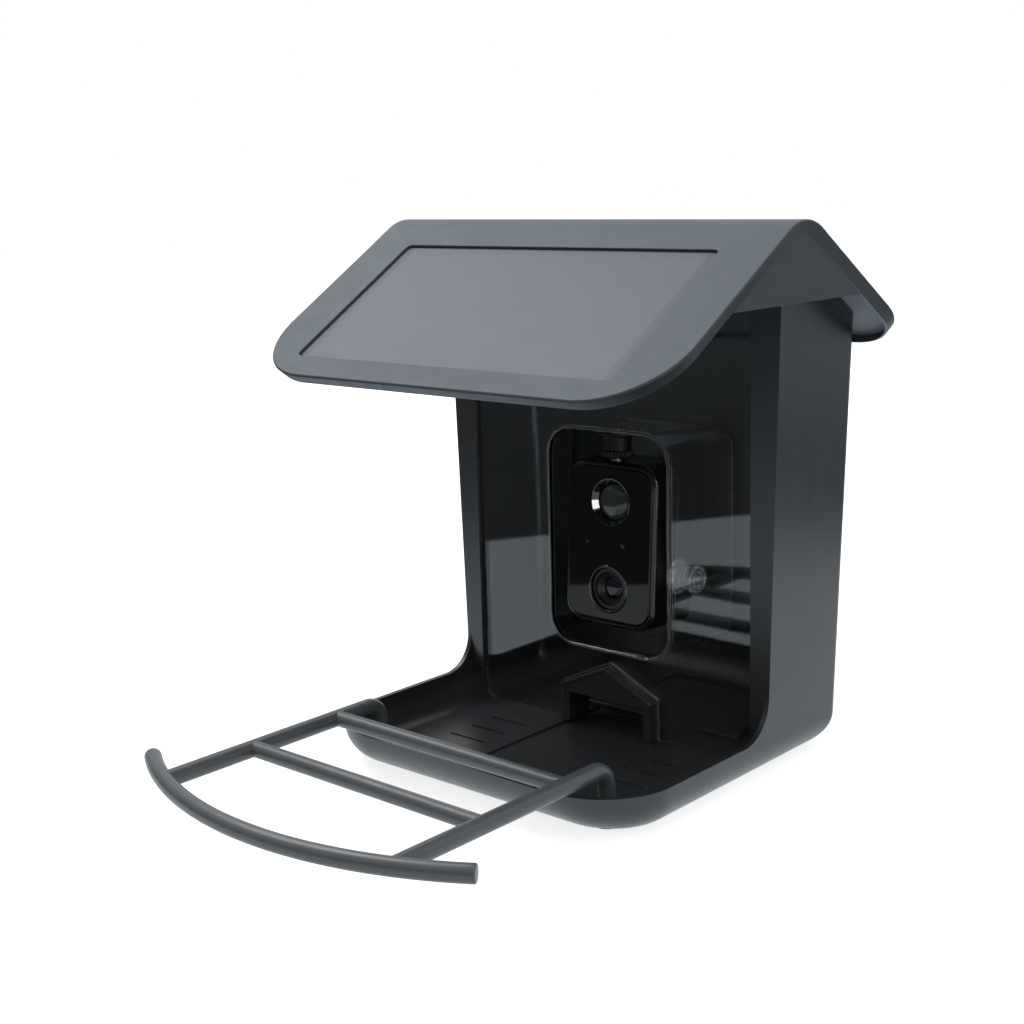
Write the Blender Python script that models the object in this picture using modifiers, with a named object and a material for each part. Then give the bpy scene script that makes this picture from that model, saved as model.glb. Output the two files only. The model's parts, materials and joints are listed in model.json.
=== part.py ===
"""A bird feeder with a camera: tapered seed hopper with a front tray, hinged solar roof, lift-out perch
and a camera that hangs in a clear pocket of the hopper's front window.

The origin is on the flat base, under the plane of the hopper's front edges. The front faces -Y.
"""

import math

import bmesh
import bpy
from mathutils import Matrix, Vector

# Shared clearances, in metres
gap = 0.0003
overrun = 0.004
weld = 0.000001

# Housing: the width and the depth grow with height by the two draft shares
base_half_width = 0.0957
side_draft_share = 0.027
base_rear = 0.0643
rear_draft_share = 0.020
tray_depth = 0.1137
front_draft_share = 0.05
rim_height = 0.0200
side_wall = 0.0026
floor_thickness = 0.0030
front_corner_radius = 0.038
rear_corner_radius = 0.007
side_fillet = 0.016
front_fillet = 0.022
sweep_radius = 0.019
window_half_width = 0.0860
flange_thickness = 0.0020
rail_depth = 0.0020
rail_foot = 0.060
channel_half_width = 0.0270
channel_depth = 0.0010
drain_length = 0.024
drain_width = 0.0018
drain_pitch = 0.0155
drain_set_in = 0.050
drain_row_y = 0.0210
drain_slots = 3

# Rear opening and the plate that closes it
rear_frame = 0.0060
plate_thickness = 0.0026
plate_half_width = 0.0800
plate_low = 0.0260
plate_drop = 0.0022
plate_corner_radius = 0.0040
ledge_width = 0.0080
boss_radius = 0.0190
boss_height = 0.0070
boss_up = 0.1150
insert_radius = 0.0046
insert_bore = 0.0032
insert_depth = 0.0060
screw_shank = 0.0013
screw_length = 0.0050
screw_head = 0.0027
screw_head_height = 0.0012

# Roof: two slopes whose planes meet at the peak, rounded along the ridge
peak_y = -0.0100
peak_height = 0.2660
front_pitch = math.radians(31.4)
rear_pitch = math.radians(32.9)
ridge_radius = 0.025
front_slope = 0.1360
rear_slope = 0.1167
roof_half_width = 0.1210
roof_front_corner = 0.040
roof_rear_corner = 0.030
roof_sheet = 0.0025
roof_skirt = 0.0066
roof_edge_round = 0.0020
roof_skirt_draft = 0.0020
gable_set_in = 0.0024
gable_thickness = 0.0026
gable_drop = 0.0404

# Solar panel in the front slope
solar_half_width = 0.0940
solar_high = 0.0310
solar_length = 0.0905
solar_recess = 0.0034
solar_border = 0.0030
solar_glass_thickness = 0.0018
solar_cell_thickness = 0.0008
solar_corner_radius = 0.0030
solar_wire_hole = 0.0030
junction_half_width = 0.0150
junction_length = 0.0220
junction_height = 0.0070
junction_from_edge = 0.0160

# Roof hinge, behind the top of the rear plate
hinge_y = 0.0780
hinge_drop = 0.0078702
hinge_radius = 0.0038
hinge_pin_radius = 0.0015
hinge_side = 0.0520
hinge_middle = 0.0140
hinge_outer = 0.0080
hinge_arm = 0.0050
hinge_arm_share = 0.8

# Clear front window with its camera pocket
pane_thickness = 0.0025
pane_drop = 0.0280
pane_corner = 0.0060
pocket_half_width = 0.0385
pocket_low = 0.0440
pocket_high = 0.1590
pocket_corner = 0.0155
pocket_wall = 0.0018
pocket_depth = 0.0596
pocket_draft = math.radians(0.4)
ceiling_draft = math.radians(3.4)
pocket_rear_corner = 0.0090
pocket_rim = 0.0012
outlet_clearance = 0.0006

# Seed chute and the hood over its outlet
chute_high = 0.0389
chute_pitch_share = 0.635
chute_thickness = 0.0022
chute_ramp_height = 0.0240
chute_ramp_front = 0.0260
hood_half_width = 0.0292
hood_eave = 0.0236
hood_peak = 0.0372
hood_front = 0.0032
hood_depth = 0.0180
hood_opening_half_width = 0.0240
hood_opening_height = 0.0196
hood_lip = 0.0010

# Plug in the pocket's right wall
plug_y = 0.0122
plug_height = 0.0875
plug_hole = 0.0060
plug_flange = 0.0090
plug_flange_thickness = 0.0018
plug_reach = 0.0105
plug_cap = 0.0070
plug_cap_thickness = 0.0022
plug_recess = 0.0026

# Perch: one ladder of round bars that hooks over the tray's lip
perch_height = 0.0280
perch_radius = 0.0040
perch_rung_radius = 0.0038
perch_front_radius = 0.0036
perch_half_width = 0.0717
perch_leg_y = 0.0915
perch_bend = 0.0085
perch_bar_y = 0.1199
perch_bar_pitch = 0.0520
perch_front_y = 0.2365
perch_front_curve = 0.188
perch_front_half_length = 0.1045
socket_radius = 0.0074
socket_height = 0.0080

# Camera hanger: a post with a ball socket under the pocket's ceiling
post_y = 0.0115
post_flange = 0.0105
post_flange_thickness = 0.0022
post_radius = 0.0072
ball_drop = 0.0092
ball_radius = 0.0042
stem_radius = 0.0018
collar_radius = 0.0080
collar_height = 0.0030
collar_ribs = 16
collar_rib_depth = 0.0005
foot_radius = 0.0036
foot_thickness = 0.0010
bolt_radius = 0.0030
nut_radius = 0.0060
nut_height = 0.0040

# Camera
camera_top = 0.0150
camera_width = 0.0570
camera_height = 0.0840
camera_front = 0.0046
camera_seam = 0.0130
camera_rear = 0.0300
camera_corner = 0.0110
camera_edge = 0.0030
camera_wall = 0.0018
face_width = 0.0520
face_height = 0.0780
face_corner = 0.0090
face_thickness = 0.0016
face_proud = 0.0004
pir_up = 0.0215
pir_ring_radius = 0.0124
pir_bush_radius = 0.0107
pir_bore = 0.0096
pir_bush_depth = 0.0050
pir_cone_depth = 0.0030
pir_dome_height = 0.0030
pir_dome_edge = 0.0008
pir_can_radius = 0.0046
pir_can_height = 0.0042
pir_stem_radius = 0.0028
lens_down = 0.0227
lens_ring_radius = 0.0124
lens_ring_bore = 0.0108
lens_ring_proud = 0.0006
barrel_radius = 0.0104
barrel_lip = 0.0010
barrel_step_radius = 0.0088
barrel_step_depth = 0.0014
barrel_cone_depth = 0.0026
barrel_length = 0.0120
lens_radius = 0.0056
lens_bulge = 0.0016
led_radius = 0.0013
led_x = 0.0085
led_up = 0.0005
sensor_radius = 0.0010
sensor_x = 0.0140
port_radius = 0.0007
port_x = 0.0146
port_down = 0.0095
board_thickness = 0.0014
board_margin = 0.0030
battery_radius = 0.0088
battery_length = 0.0570
battery_pitch = 0.0185
button_radius = 0.0040
button_proud = 0.0012
button_flange = 0.0010
button_flange_thickness = 0.0008
button_down = 0.0340
usb_width = 0.0130
usb_height = 0.0070
usb_thickness = 0.0010
usb_up = 0.0370
camera_screw_side = 0.0210
camera_screw_up = 0.0340
camera_boss = 0.0030

# Heights that follow the roof's peak
hinge_height = peak_height - (hinge_y - peak_y) * math.tan(rear_pitch) - hinge_drop
plate_high = hinge_height - plate_drop
pane_top = peak_height - pane_drop

# Round faces: sides per turn, and points per quarter turn of a rounded corner
turn_sides = 24
small_turn_sides = 12
roof_corner_steps = 8
corner_steps = 6
small_corner_steps = 3
ridge_steps = 8

fillet_height_shares = (0, 0.04, 0.15, 0.32, 0.55, 0.8)
smooth_angle = math.radians(35)
# How far the middle of a quarter round lies from each of its tangents, as a share of its radius
quarter_round_share = 1 - math.cos(math.radians(45))

# Local X and Y to world Y and Z, for outlines drawn in side view
SIDE_VIEW = Matrix(((0, 0, 1, 0), (1, 0, 0, 0), (0, 1, 0, 0), (0, 0, 0, 1)))
# Local X and Y to world X and Z, for outlines drawn in front view
FRONT_VIEW = Matrix.Rotation(math.radians(90), 4, "X")
# Local Z to world X, for turned pieces that lie across the feeder
ACROSS = Matrix.Rotation(math.radians(90), 4, "Y")
# Local Z to world -Y, for turned pieces that face forward
FORWARD = Matrix.Rotation(math.radians(90), 4, "X")


def clear_scene():
    for old in list(bpy.data.objects):
        bpy.data.objects.remove(old, do_unlink=True)


def new_collection(name, helper=False):
    made = bpy.data.collections.new(name)
    bpy.context.scene.collection.children.link(made)
    made.hide_render = helper
    return made


clear_scene()
parts = new_collection("bird_feeder")
cutters = new_collection("cutters", helper=True)


def material(name, colour, roughness, metallic=0.0, alpha=1.0):
    made = bpy.data.materials.new(name)
    made.use_nodes = True
    shader = made.node_tree.nodes["Principled BSDF"]
    shader.inputs["Base Color"].default_value = (*colour, 1.0)
    shader.inputs["Roughness"].default_value = roughness
    shader.inputs["Metallic"].default_value = metallic
    shader.inputs["Alpha"].default_value = alpha
    made.diffuse_color = (*colour, alpha)
    return made


def link(obj, finish):
    """Puts an object among the parts with its material, or among the cutters when it has none."""
    if finish is None:
        cutters.objects.link(obj)
        obj.hide_render = True
        obj.display_type = "WIRE"
    else:
        parts.objects.link(obj)
        obj.data.materials.clear()
        obj.data.materials.append(finish)
    return obj


def from_bmesh(name, bm, finish=None):
    bmesh.ops.recalc_face_normals(bm, faces=bm.faces)
    mesh = bpy.data.meshes.new(name)
    bm.to_mesh(mesh)
    bm.free()
    return link(bpy.data.objects.new(name, mesh), finish)


def box(name, low, high, finish=None):
    bm = bmesh.new()
    bmesh.ops.create_cube(bm, size=1)
    size = Vector(high) - Vector(low)
    centre = (Vector(high) + Vector(low)) / 2
    bmesh.ops.scale(bm, vec=size, verts=bm.verts)
    bmesh.ops.translate(bm, vec=centre, verts=bm.verts)
    return from_bmesh(name, bm, finish)


def rod(name, radius, start, end, finish=None, sides=small_turn_sides, end_radius=None):
    """A closed cylinder or cone between two points."""
    start, end = Vector(start), Vector(end)
    bm = bmesh.new()
    far = radius if end_radius is None else end_radius
    length = (end - start).length
    bmesh.ops.create_cone(bm, cap_ends=True, segments=sides, radius1=radius, radius2=far, depth=length)
    turn = Vector((0, 0, 1)).rotation_difference(end - start).to_matrix().to_4x4()
    bmesh.ops.transform(bm, matrix=Matrix.Translation((start + end) / 2) @ turn, verts=bm.verts)
    return from_bmesh(name, bm, finish)


def turned(name, profile, finish=None, sides=turn_sides, ring=False, turn=None):
    """A turned solid: the profile's (radius, height) points run down its outer side."""
    mesh = bpy.data.meshes.new(name)
    points = [(radius, 0, height) for radius, height in profile]
    edges = [(i, i + 1) for i in range(len(points) - 1)]
    if ring:
        edges.append((len(points) - 1, 0))
    mesh.from_pydata(points, edges, [])
    obj = link(bpy.data.objects.new(name, mesh), finish)
    screw = obj.modifiers.new("turn", "SCREW")
    screw.steps = sides
    screw.render_steps = sides
    screw.use_merge_vertices = True
    screw.merge_threshold = weld
    if turn is not None:
        bake(obj)
        obj.data.transform(turn)
    return obj


def bake(obj):
    """Replaces an object's mesh with the one that its modifiers make."""
    bpy.context.view_layer.update()
    graph = bpy.context.evaluated_depsgraph_get()
    mesh = bpy.data.meshes.new_from_object(obj.evaluated_get(graph))
    obj.modifiers.clear()
    obj.data = mesh
    return obj


def plate(name, outline, thickness, finish=None, view=None):
    """A flat outline, extruded by half its thickness each way."""
    curve = bpy.data.curves.new(name, "CURVE")
    curve.dimensions = "2D"
    curve.fill_mode = "BOTH"
    curve.extrude = thickness / 2
    spline = curve.splines.new("POLY")
    spline.points.add(len(outline) - 1)
    for knot, (across, up) in zip(spline.points, outline):
        knot.co = (across, up, 0, 1)
    spline.use_cyclic_u = True
    flat = bpy.data.objects.new(name, curve)
    parts.objects.link(flat)
    mesh = mesh_of(flat)
    if view is not None:
        mesh.transform(view)
    return link(bpy.data.objects.new(name, mesh), finish)


def mesh_of(curve_object):
    """The welded mesh of a curve object, which is then removed."""
    bpy.context.view_layer.update()
    graph = bpy.context.evaluated_depsgraph_get()
    mesh = bpy.data.meshes.new_from_object(curve_object.evaluated_get(graph))
    mesh.transform(curve_object.matrix_world)
    bm = bmesh.new()
    bm.from_mesh(mesh)
    bmesh.ops.remove_doubles(bm, verts=bm.verts, dist=weld)
    bmesh.ops.recalc_face_normals(bm, faces=bm.faces)
    bm.to_mesh(mesh)
    bm.free()
    bpy.data.objects.remove(curve_object, do_unlink=True)
    return mesh


def tube(name, points, radius, finish=None, resolution=4):
    """A round bar along a smooth row of points, with flat ends."""
    curve = bpy.data.curves.new(name, "CURVE")
    curve.dimensions = "3D"
    curve.bevel_depth = radius
    curve.bevel_resolution = resolution
    curve.use_fill_caps = True
    spline = curve.splines.new("POLY")
    spline.points.add(len(points) - 1)
    for knot, place in zip(spline.points, points):
        knot.co = (*place, 1)
    flat = bpy.data.objects.new(name, curve)
    parts.objects.link(flat)
    return link(bpy.data.objects.new(name, mesh_of(flat)), finish)


def loft(name, rings, finish=None):
    """A closed solid through rings of equally many points."""
    bm = bmesh.new()
    rows = [[bm.verts.new(point) for point in ring] for ring in rings]
    count = len(rows[0])
    for low, high in zip(rows, rows[1:]):
        for i in range(count):
            after = (i + 1) % count
            bm.faces.new((low[i], low[after], high[after], high[i]))
    bm.faces.new(rows[0])
    bm.faces.new(rows[-1])
    return from_bmesh(name, bm, finish)


def combine(target, tool, operation="DIFFERENCE"):
    """Cuts the tool from the target, or joins or intersects it."""
    modifier = target.modifiers.new(tool.name, "BOOLEAN")
    modifier.operation = operation
    modifier.object = tool
    modifier.solver = "EXACT"
    return target


def join(target, *tools):
    for tool in tools:
        combine(target, tool, "UNION")
    return target


def cut(target, *tools):
    for tool in tools:
        combine(target, tool)
    return target


def smooth(*objects):
    for obj in objects:
        obj.data.shade_smooth()
        obj.data.set_sharp_from_angle(angle=smooth_angle)


def arc(centre, radius, start, end, steps):
    """Points from one angle to another, in degrees, about a centre."""
    made = []
    for i in range(steps + 1):
        angle = math.radians(start + (end - start) * i / steps)
        made.append((centre[0] + radius * math.cos(angle), centre[1] + radius * math.sin(angle)))
    return made


def rounded_outline(left, right, low, high, low_radius, high_radius, steps=corner_steps):
    """A rectangle, counter-clockwise, with one radius for its two low corners and one for the high ones."""
    points = arc((right - low_radius, low + low_radius), low_radius, -90, 0, steps)
    points += arc((right - high_radius, high - high_radius), high_radius, 0, 90, steps)
    points += arc((left + high_radius, high - high_radius), high_radius, 90, 180, steps)
    points += arc((left + low_radius, low + low_radius), low_radius, 180, 270, steps)
    return points


def slot_outline(half_length, width, steps=small_corner_steps):
    """A slot along local X with round ends."""
    reach = half_length - width / 2
    return arc((reach, 0), width / 2, -90, 90, 2 * steps) + arc((-reach, 0), width / 2, 90, 270, 2 * steps)


def parent_at(name, place, pieces, rotation=None, local=False):
    """An empty on a joint's axis, with the pieces that move with it as children."""
    empty = bpy.data.objects.new(name, None)
    parts.objects.link(empty)
    empty.location = place
    if rotation is not None:
        empty.rotation_euler = rotation
    bpy.context.view_layer.update()
    for piece in pieces:
        piece.parent = empty
        if not local:
            piece.matrix_parent_inverse = empty.matrix_world.inverted()
    return empty


def half_width_at(height):
    return base_half_width + side_draft_share * height


def rear_at(height):
    return base_rear + rear_draft_share * height


def front_at(height):
    return -(tray_depth + front_draft_share * height)


def fillet_inset(radius, height):
    """How far a bottom fillet draws the wall in at a height."""
    if height >= radius:
        return 0
    return radius - math.sqrt(radius**2 - (radius - height) ** 2)


def housing_ring(height, inset, fillet_from, wall_side, wall_front, shrink):
    """The housing's plan outline at a height, drawn in by a wall and by the bottom fillets."""
    up = height - fillet_from
    side = half_width_at(height) - inset - fillet_inset(wall_side, up)
    front = front_at(height) + inset + fillet_inset(wall_front, up)
    rear = rear_at(height) - max(inset, shrink) - fillet_inset(wall_side, up)
    near = max(front_corner_radius - inset - fillet_inset(wall_front, up), rear_corner_radius)
    far = max(rear_corner_radius - inset, side_wall)
    return [
        (across, along, height)
        for across, along in rounded_outline(-side, side, front, rear, near, far)
    ]


def housing_block(name, inset, bottom, side_round, front_round, shrink, top, finish=None):
    """The housing's outer body, or with an inset its cavity, from its bottom up to a flat top."""
    heights = [bottom + share * front_round for share in fillet_height_shares]
    heights += [bottom + front_round, top]
    rings = [housing_ring(height, inset, bottom, side_round, front_round, shrink) for height in heights]
    return loft(name, rings, finish)


def rear_plane(y):
    """The height of the rear slope's outer plane over a place."""
    return peak_height - (y - peak_y) * math.tan(rear_pitch)


def roof_point(run, rise):
    """The (y, z) of a point on the roof: run is along the slopes from the peak, rise is square to them."""
    peak = Vector((peak_y, peak_height))
    front_way = Vector((math.cos(front_pitch), math.sin(front_pitch)))
    rear_way = Vector((math.cos(rear_pitch), -math.sin(rear_pitch)))
    front_up = Vector((-math.sin(front_pitch), math.cos(front_pitch)))
    rear_up = Vector((math.sin(rear_pitch), math.cos(rear_pitch)))
    reach = ridge_radius * math.tan((front_pitch + rear_pitch) / 2)
    if run <= -reach:
        return peak + front_way * run + front_up * rise
    if run >= reach:
        return peak + rear_way * run + rear_up * rise
    centre = peak - front_way * reach - front_up * ridge_radius
    turn = front_pitch - (front_pitch + rear_pitch) * (run + reach) / (2 * reach)
    return centre + (ridge_radius + rise) * Vector((-math.sin(turn), math.cos(turn)))


def bend_to_roof(obj):
    """Bends a flat solid, with X across, Y along the slopes and Z square to them, over the ridge."""
    reach = ridge_radius * math.tan((front_pitch + rear_pitch) / 2)
    bm = bmesh.new()
    bm.from_mesh(obj.data)
    for step in range(ridge_steps + 1):
        place = (0, -reach + 2 * reach * step / ridge_steps, 0)
        everything = bm.verts[:] + bm.edges[:] + bm.faces[:]
        bmesh.ops.bisect_plane(bm, geom=everything, dist=weld, plane_co=place, plane_no=(0, 1, 0))
    for vert in bm.verts:
        bent = roof_point(vert.co.y, vert.co.z)
        vert.co = (vert.co.x, bent.x, bent.y)
    bm.to_mesh(obj.data)
    bm.free()


dark = material("housing_dark_grey", (0.030, 0.033, 0.036), 0.42)
grey = material("roof_grey", (0.118, 0.118, 0.122), 0.48)
slate = material("perch_slate", (0.105, 0.120, 0.125), 0.42)
clear = material("clear_plastic", (0.92, 0.94, 0.95), 0.05, alpha=0.25)
silicone = material("clear_silicone", (0.88, 0.90, 0.90), 0.25, alpha=0.55)
glass = material("solar_glass", (0.10, 0.115, 0.14), 0.12, alpha=0.5)
cells = material("solar_cells", (0.035, 0.042, 0.058), 0.35)
black = material("camera_black", (0.012, 0.012, 0.013), 0.38)
gloss = material("camera_gloss_black", (0.006, 0.006, 0.007), 0.06)
lens = material("lens_glass", (0.020, 0.025, 0.040), 0.03)
dome = material("pir_dome", (0.22, 0.26, 0.26), 0.2)
steel = material("steel", (0.55, 0.55, 0.56), 0.3, metallic=1.0)
brass = material("brass", (0.62, 0.48, 0.22), 0.32, metallic=1.0)
board = material("circuit_board", (0.02, 0.10, 0.05), 0.5)
sleeve = material("battery_sleeve", (0.05, 0.16, 0.30), 0.45)
rubber = material("rubber", (0.02, 0.02, 0.02), 0.75)
lamp = material("status_lamp", (0.55, 0.58, 0.60), 0.3)


def pocket_ring(depth, outset):
    """The pocket's outline at a depth behind the pane's face. Its ceiling slopes most."""
    drawn = depth * math.tan(pocket_draft)
    share = depth / pocket_depth
    radius = pocket_corner + (pocket_rear_corner - pocket_corner) * share + outset
    side = pocket_half_width - drawn + outset
    low = pocket_low + drawn - outset
    high = pocket_high - depth * math.tan(ceiling_draft) + outset
    outline = rounded_outline(-side, side, low, high, radius, radius)
    place = flange_thickness + gap + depth
    return [(across, place, up) for across, up in outline]


def drain_cutters():
    """A row of drain slots through each raised side floor."""
    made = []
    outline = slot_outline(drain_length / 2, drain_width)
    depth = 2 * (floor_thickness + overrun)
    for side in (-1, 1):
        for i in range(drain_slots):
            along = -(drain_row_y + i * drain_pitch)
            view = Matrix.Translation((side * drain_set_in, along, 0))
            made.append(plate(f"cut_drain_{side}_{i}", outline, depth, view=view))
    return made


def rear_matrix():
    """The frame of the leaning rear face: local Y points out of it, and local Z up along it."""
    lean = math.atan(rear_draft_share)
    return Matrix.Translation((0, base_rear, 0)) @ Matrix.Rotation(-lean, 4, "X")


def rear_slab(name, half_width, low, high, radius, inner, outer, finish=None):
    """A rounded plate in the rear face's own frame, between two depths."""
    outline = rounded_outline(-half_width, half_width, low, high, radius, radius, small_corner_steps)
    middle = Matrix.Translation((0, (inner + outer) / 2, 0))
    return plate(name, outline, outer - inner, finish, rear_matrix() @ middle @ FRONT_VIEW)


def screw_places():
    """Six screws round the rear plate, in the rear face's own frame."""
    across = plate_half_width - ledge_width / 2
    middle = (plate_low + plate_high) / 2
    low = plate_low + ledge_width / 2
    high = plate_high - ledge_width / 2
    return [(side * across, up) for up in (low, middle, high) for side in (-1, 1)]


def make_housing():
    body = housing_block("housing", 0, 0, side_fillet, front_fillet, 0, peak_height, dark)
    under_roof = roof_sheet / math.cos(rear_pitch) + gap
    ahead = -(tray_depth + front_draft_share * rim_height + overrun)
    behind = rear_at(peak_height) + overrun
    keep = [(ahead, -overrun), (behind, -overrun), (behind, rear_plane(behind) - under_roof)]
    keep += [(0, rear_plane(0) - under_roof)]
    keep += arc((-sweep_radius, rim_height + sweep_radius), sweep_radius, 0, -90, corner_steps)
    keep += [(ahead, rim_height)]
    span = 2 * (roof_half_width + overrun)
    combine(body, plate("keep_side_view", keep, span, view=SIDE_VIEW), "INTERSECT")
    cavity = housing_block(
        "cut_cavity",
        side_wall,
        floor_thickness,
        side_fillet - side_wall,
        front_fillet - side_wall,
        rear_frame,
        peak_height + overrun,
    )
    # The flanges and the rails behind the pane stay when the cavity is cut
    wide = roof_half_width
    top = peak_height + 2 * overrun
    rail_y = flange_thickness + 2 * gap + pane_thickness
    ledges = []
    for side in (-1, 1):
        near, far = sorted((side * window_half_width, side * wide))
        ledges.append(box(f"keep_flange_{side}", (near, 0, rim_height), (far, flange_thickness, top)))
        near, far = sorted((side * (window_half_width - gap), side * wide))
        ledges.append(box(f"keep_rail_{side}", (near, rail_y, rail_foot), (far, rail_y + rail_depth, top)))
    cut(cavity, *ledges)
    cut(body, cavity)
    channel = box(
        "cut_channel",
        (-channel_half_width, front_at(floor_thickness) + front_fillet, floor_thickness - channel_depth),
        (channel_half_width, chute_ramp_front, floor_thickness + overrun),
    )
    cut(body, channel, *drain_cutters())
    rear_open = ledge_width + gap
    cut(
        body,
        rear_slab(
            "cut_rear_seat",
            plate_half_width + gap,
            plate_low - gap,
            plate_high + gap,
            plate_corner_radius + gap,
            -(plate_thickness + gap),
            overrun,
        ),
        rear_slab(
            "cut_rear_opening",
            plate_half_width - rear_open,
            plate_low + rear_open,
            plate_high - rear_open,
            plate_corner_radius,
            -(rear_frame + overrun),
            overrun,
        ),
    )
    frame = rear_matrix()
    for i, (across, up) in enumerate(screw_places()):
        start = frame @ Vector((across, -(screw_length + gap), up))
        cut(body, rod(f"cut_thread_{i}", screw_shank + gap, start, frame @ Vector((across, overrun, up))))
    for side in (-1, 1):
        centre = (side * perch_half_width, -perch_leg_y)
        low = floor_thickness - channel_depth
        boss = rod(
            f"add_socket_{side}",
            socket_radius,
            (*centre, low),
            (*centre, floor_thickness + socket_height),
            sides=turn_sides,
            end_radius=socket_radius - side_wall / 2,
        )
        join(body, boss)
        hole = rod(
            f"cut_socket_{side}",
            perch_radius + gap,
            (*centre, floor_thickness),
            (*centre, rim_height + overrun),
            sides=turn_sides,
        )
        cut(body, hole)
    return body


def make_rear_plate():
    body = rear_slab(
        "rear_plate",
        plate_half_width,
        plate_low,
        plate_high,
        plate_corner_radius,
        -plate_thickness,
        0,
        dark,
    )
    frame = rear_matrix()
    boss = rod(
        "add_mount_boss",
        boss_radius,
        frame @ Vector((0, -plate_thickness / 2, boss_up)),
        frame @ Vector((0, boss_height, boss_up)),
        sides=turn_sides,
    )
    join(body, boss)
    seat = rod(
        "cut_insert_seat",
        insert_radius + gap,
        frame @ Vector((0, boss_height - insert_depth - gap, boss_up)),
        frame @ Vector((0, boss_height + overrun, boss_up)),
        sides=turn_sides,
    )
    cut(body, seat)
    for i, (across, up) in enumerate(screw_places()):
        inside = frame @ Vector((across, -(plate_thickness + overrun), up))
        outside = frame @ Vector((across, overrun, up))
        sink = frame @ Vector((across, -(screw_head_height + gap), up))
        cut(body, rod(f"cut_screw_hole_{i}", screw_shank + gap, inside, outside))
        cut(body, rod(f"cut_screw_head_{i}", screw_head + gap, sink, outside))
    root = rear_at(hinge_height)
    for side in (-1, 1):
        low = side * hinge_side - hinge_middle / 2
        high = side * hinge_side + hinge_middle / 2
        ends = (low, hinge_y, hinge_height), (high, hinge_y, hinge_height)
        knuckle = rod(f"add_plate_knuckle_{side}", hinge_radius, *ends)
        arm_low = plate_high - hinge_arm - plate_corner_radius
        profile = [
            (root - plate_thickness, arm_low),
            (root, arm_low - hinge_arm),
            (hinge_y, hinge_height - hinge_pin_radius),
            (hinge_y, hinge_height + hinge_pin_radius),
            (root, hinge_height - hinge_radius),
            (root - plate_thickness, plate_high - hinge_arm),
        ]
        view = Matrix.Translation((side * hinge_side, 0, 0)) @ SIDE_VIEW
        arm = plate(f"add_plate_arm_{side}", profile, hinge_middle * hinge_arm_share, view=view)
        join(body, arm, knuckle)
        hole = rod(
            f"cut_plate_pin_{side}",
            hinge_pin_radius + gap,
            (low - overrun, hinge_y, hinge_height),
            (high + overrun, hinge_y, hinge_height),
        )
        cut(body, hole)
    return body


def make_screw(name, place):
    """A pan-head screw whose local Z points out of its head's top."""
    profile = [
        (0, 0),
        (screw_head - screw_head_height / 2, 0),
        (screw_head, -screw_head_height / 2),
        (screw_head, -screw_head_height),
        (screw_shank, -screw_head_height),
        (screw_shank, -screw_length),
        (0, -screw_length),
    ]
    return turned(name, profile, steel, small_turn_sides, turn=place)


def make_rear_screws():
    outward = Matrix.Rotation(math.radians(-90), 4, "X")
    for i, (across, up) in enumerate(screw_places()):
        make_screw(f"plate_screw_{i + 1}", rear_matrix() @ Matrix.Translation((across, 0, up)) @ outward)


def make_insert():
    frame = rear_matrix() @ Matrix.Translation((0, boss_height, boss_up)) @ Matrix.Rotation(
        math.radians(-90), 4, "X"
    )
    profile = [
        (insert_radius, 0),
        (insert_radius, -insert_depth),
        (insert_bore, -insert_depth),
        (insert_bore, 0),
    ]
    return turned("mount_insert", profile, brass, ring=True, turn=frame)


def make_window():
    """The clear pane, and the pocket moulded behind its window."""
    face = flange_thickness + gap
    low = floor_thickness + gap
    side = half_width_at(rail_foot) - side_wall - gap
    # The pane narrows below the rails so that it drops into the tray's rounded floor
    narrow = window_half_width - pane_corner
    shoulder = rim_height + sweep_radius
    outline = [
        (narrow, low),
        (window_half_width, low + pane_corner),
        (window_half_width, shoulder),
        (side, rail_foot),
        (side, pane_top),
        (-side, pane_top),
        (-side, rail_foot),
        (-window_half_width, shoulder),
        (-window_half_width, low + pane_corner),
        (-narrow, low),
    ]
    view = Matrix.Translation((0, face + pane_thickness / 2, 0)) @ FRONT_VIEW
    body = plate("front_window", outline, pane_thickness, clear, view)
    shell = loft("add_pocket", [pocket_ring(-pocket_rim, 0), pocket_ring(pocket_depth, 0)])
    mouth = pocket_ring(-pocket_rim - overrun, -pocket_wall)
    hollow = loft("cut_pocket", [mouth, pocket_ring(pocket_depth - pocket_wall, -pocket_wall)])
    join(body, shell)
    cut(body, hollow)
    reach = outlet_clearance
    gable = [
        (-hood_half_width - reach, -overrun),
        (hood_half_width + reach, -overrun),
        (hood_half_width + reach, hood_eave + reach),
        (0, hood_peak + 2 * reach),
        (-hood_half_width - reach, hood_eave + reach),
    ]
    cut(body, plate("cut_outlet", gable, 4 * (pane_thickness + overrun), view=view))
    wall = pocket_half_width - pocket_wall
    hole = rod(
        "cut_plug_hole",
        plug_hole + gap,
        (wall - overrun, plug_y, plug_height),
        (pocket_half_width + overrun, plug_y, plug_height),
        sides=turn_sides,
    )
    frame = ceiling_matrix()
    bolt = rod(
        "cut_bolt_hole",
        bolt_radius + gap,
        frame @ Vector((0, 0, -overrun)),
        frame @ Vector((0, 0, pocket_wall + overrun)),
        sides=turn_sides,
    )
    cut(body, hole, bolt)
    return body


def ceiling_matrix():
    """The frame of the pocket's sloping ceiling at the camera's post: local Z points up and out of it."""
    behind = post_y - flange_thickness - gap
    height = pocket_high - pocket_wall - behind * math.tan(ceiling_draft)
    return Matrix.Translation((0, post_y, height)) @ Matrix.Rotation(-ceiling_draft, 4, "X")


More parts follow.
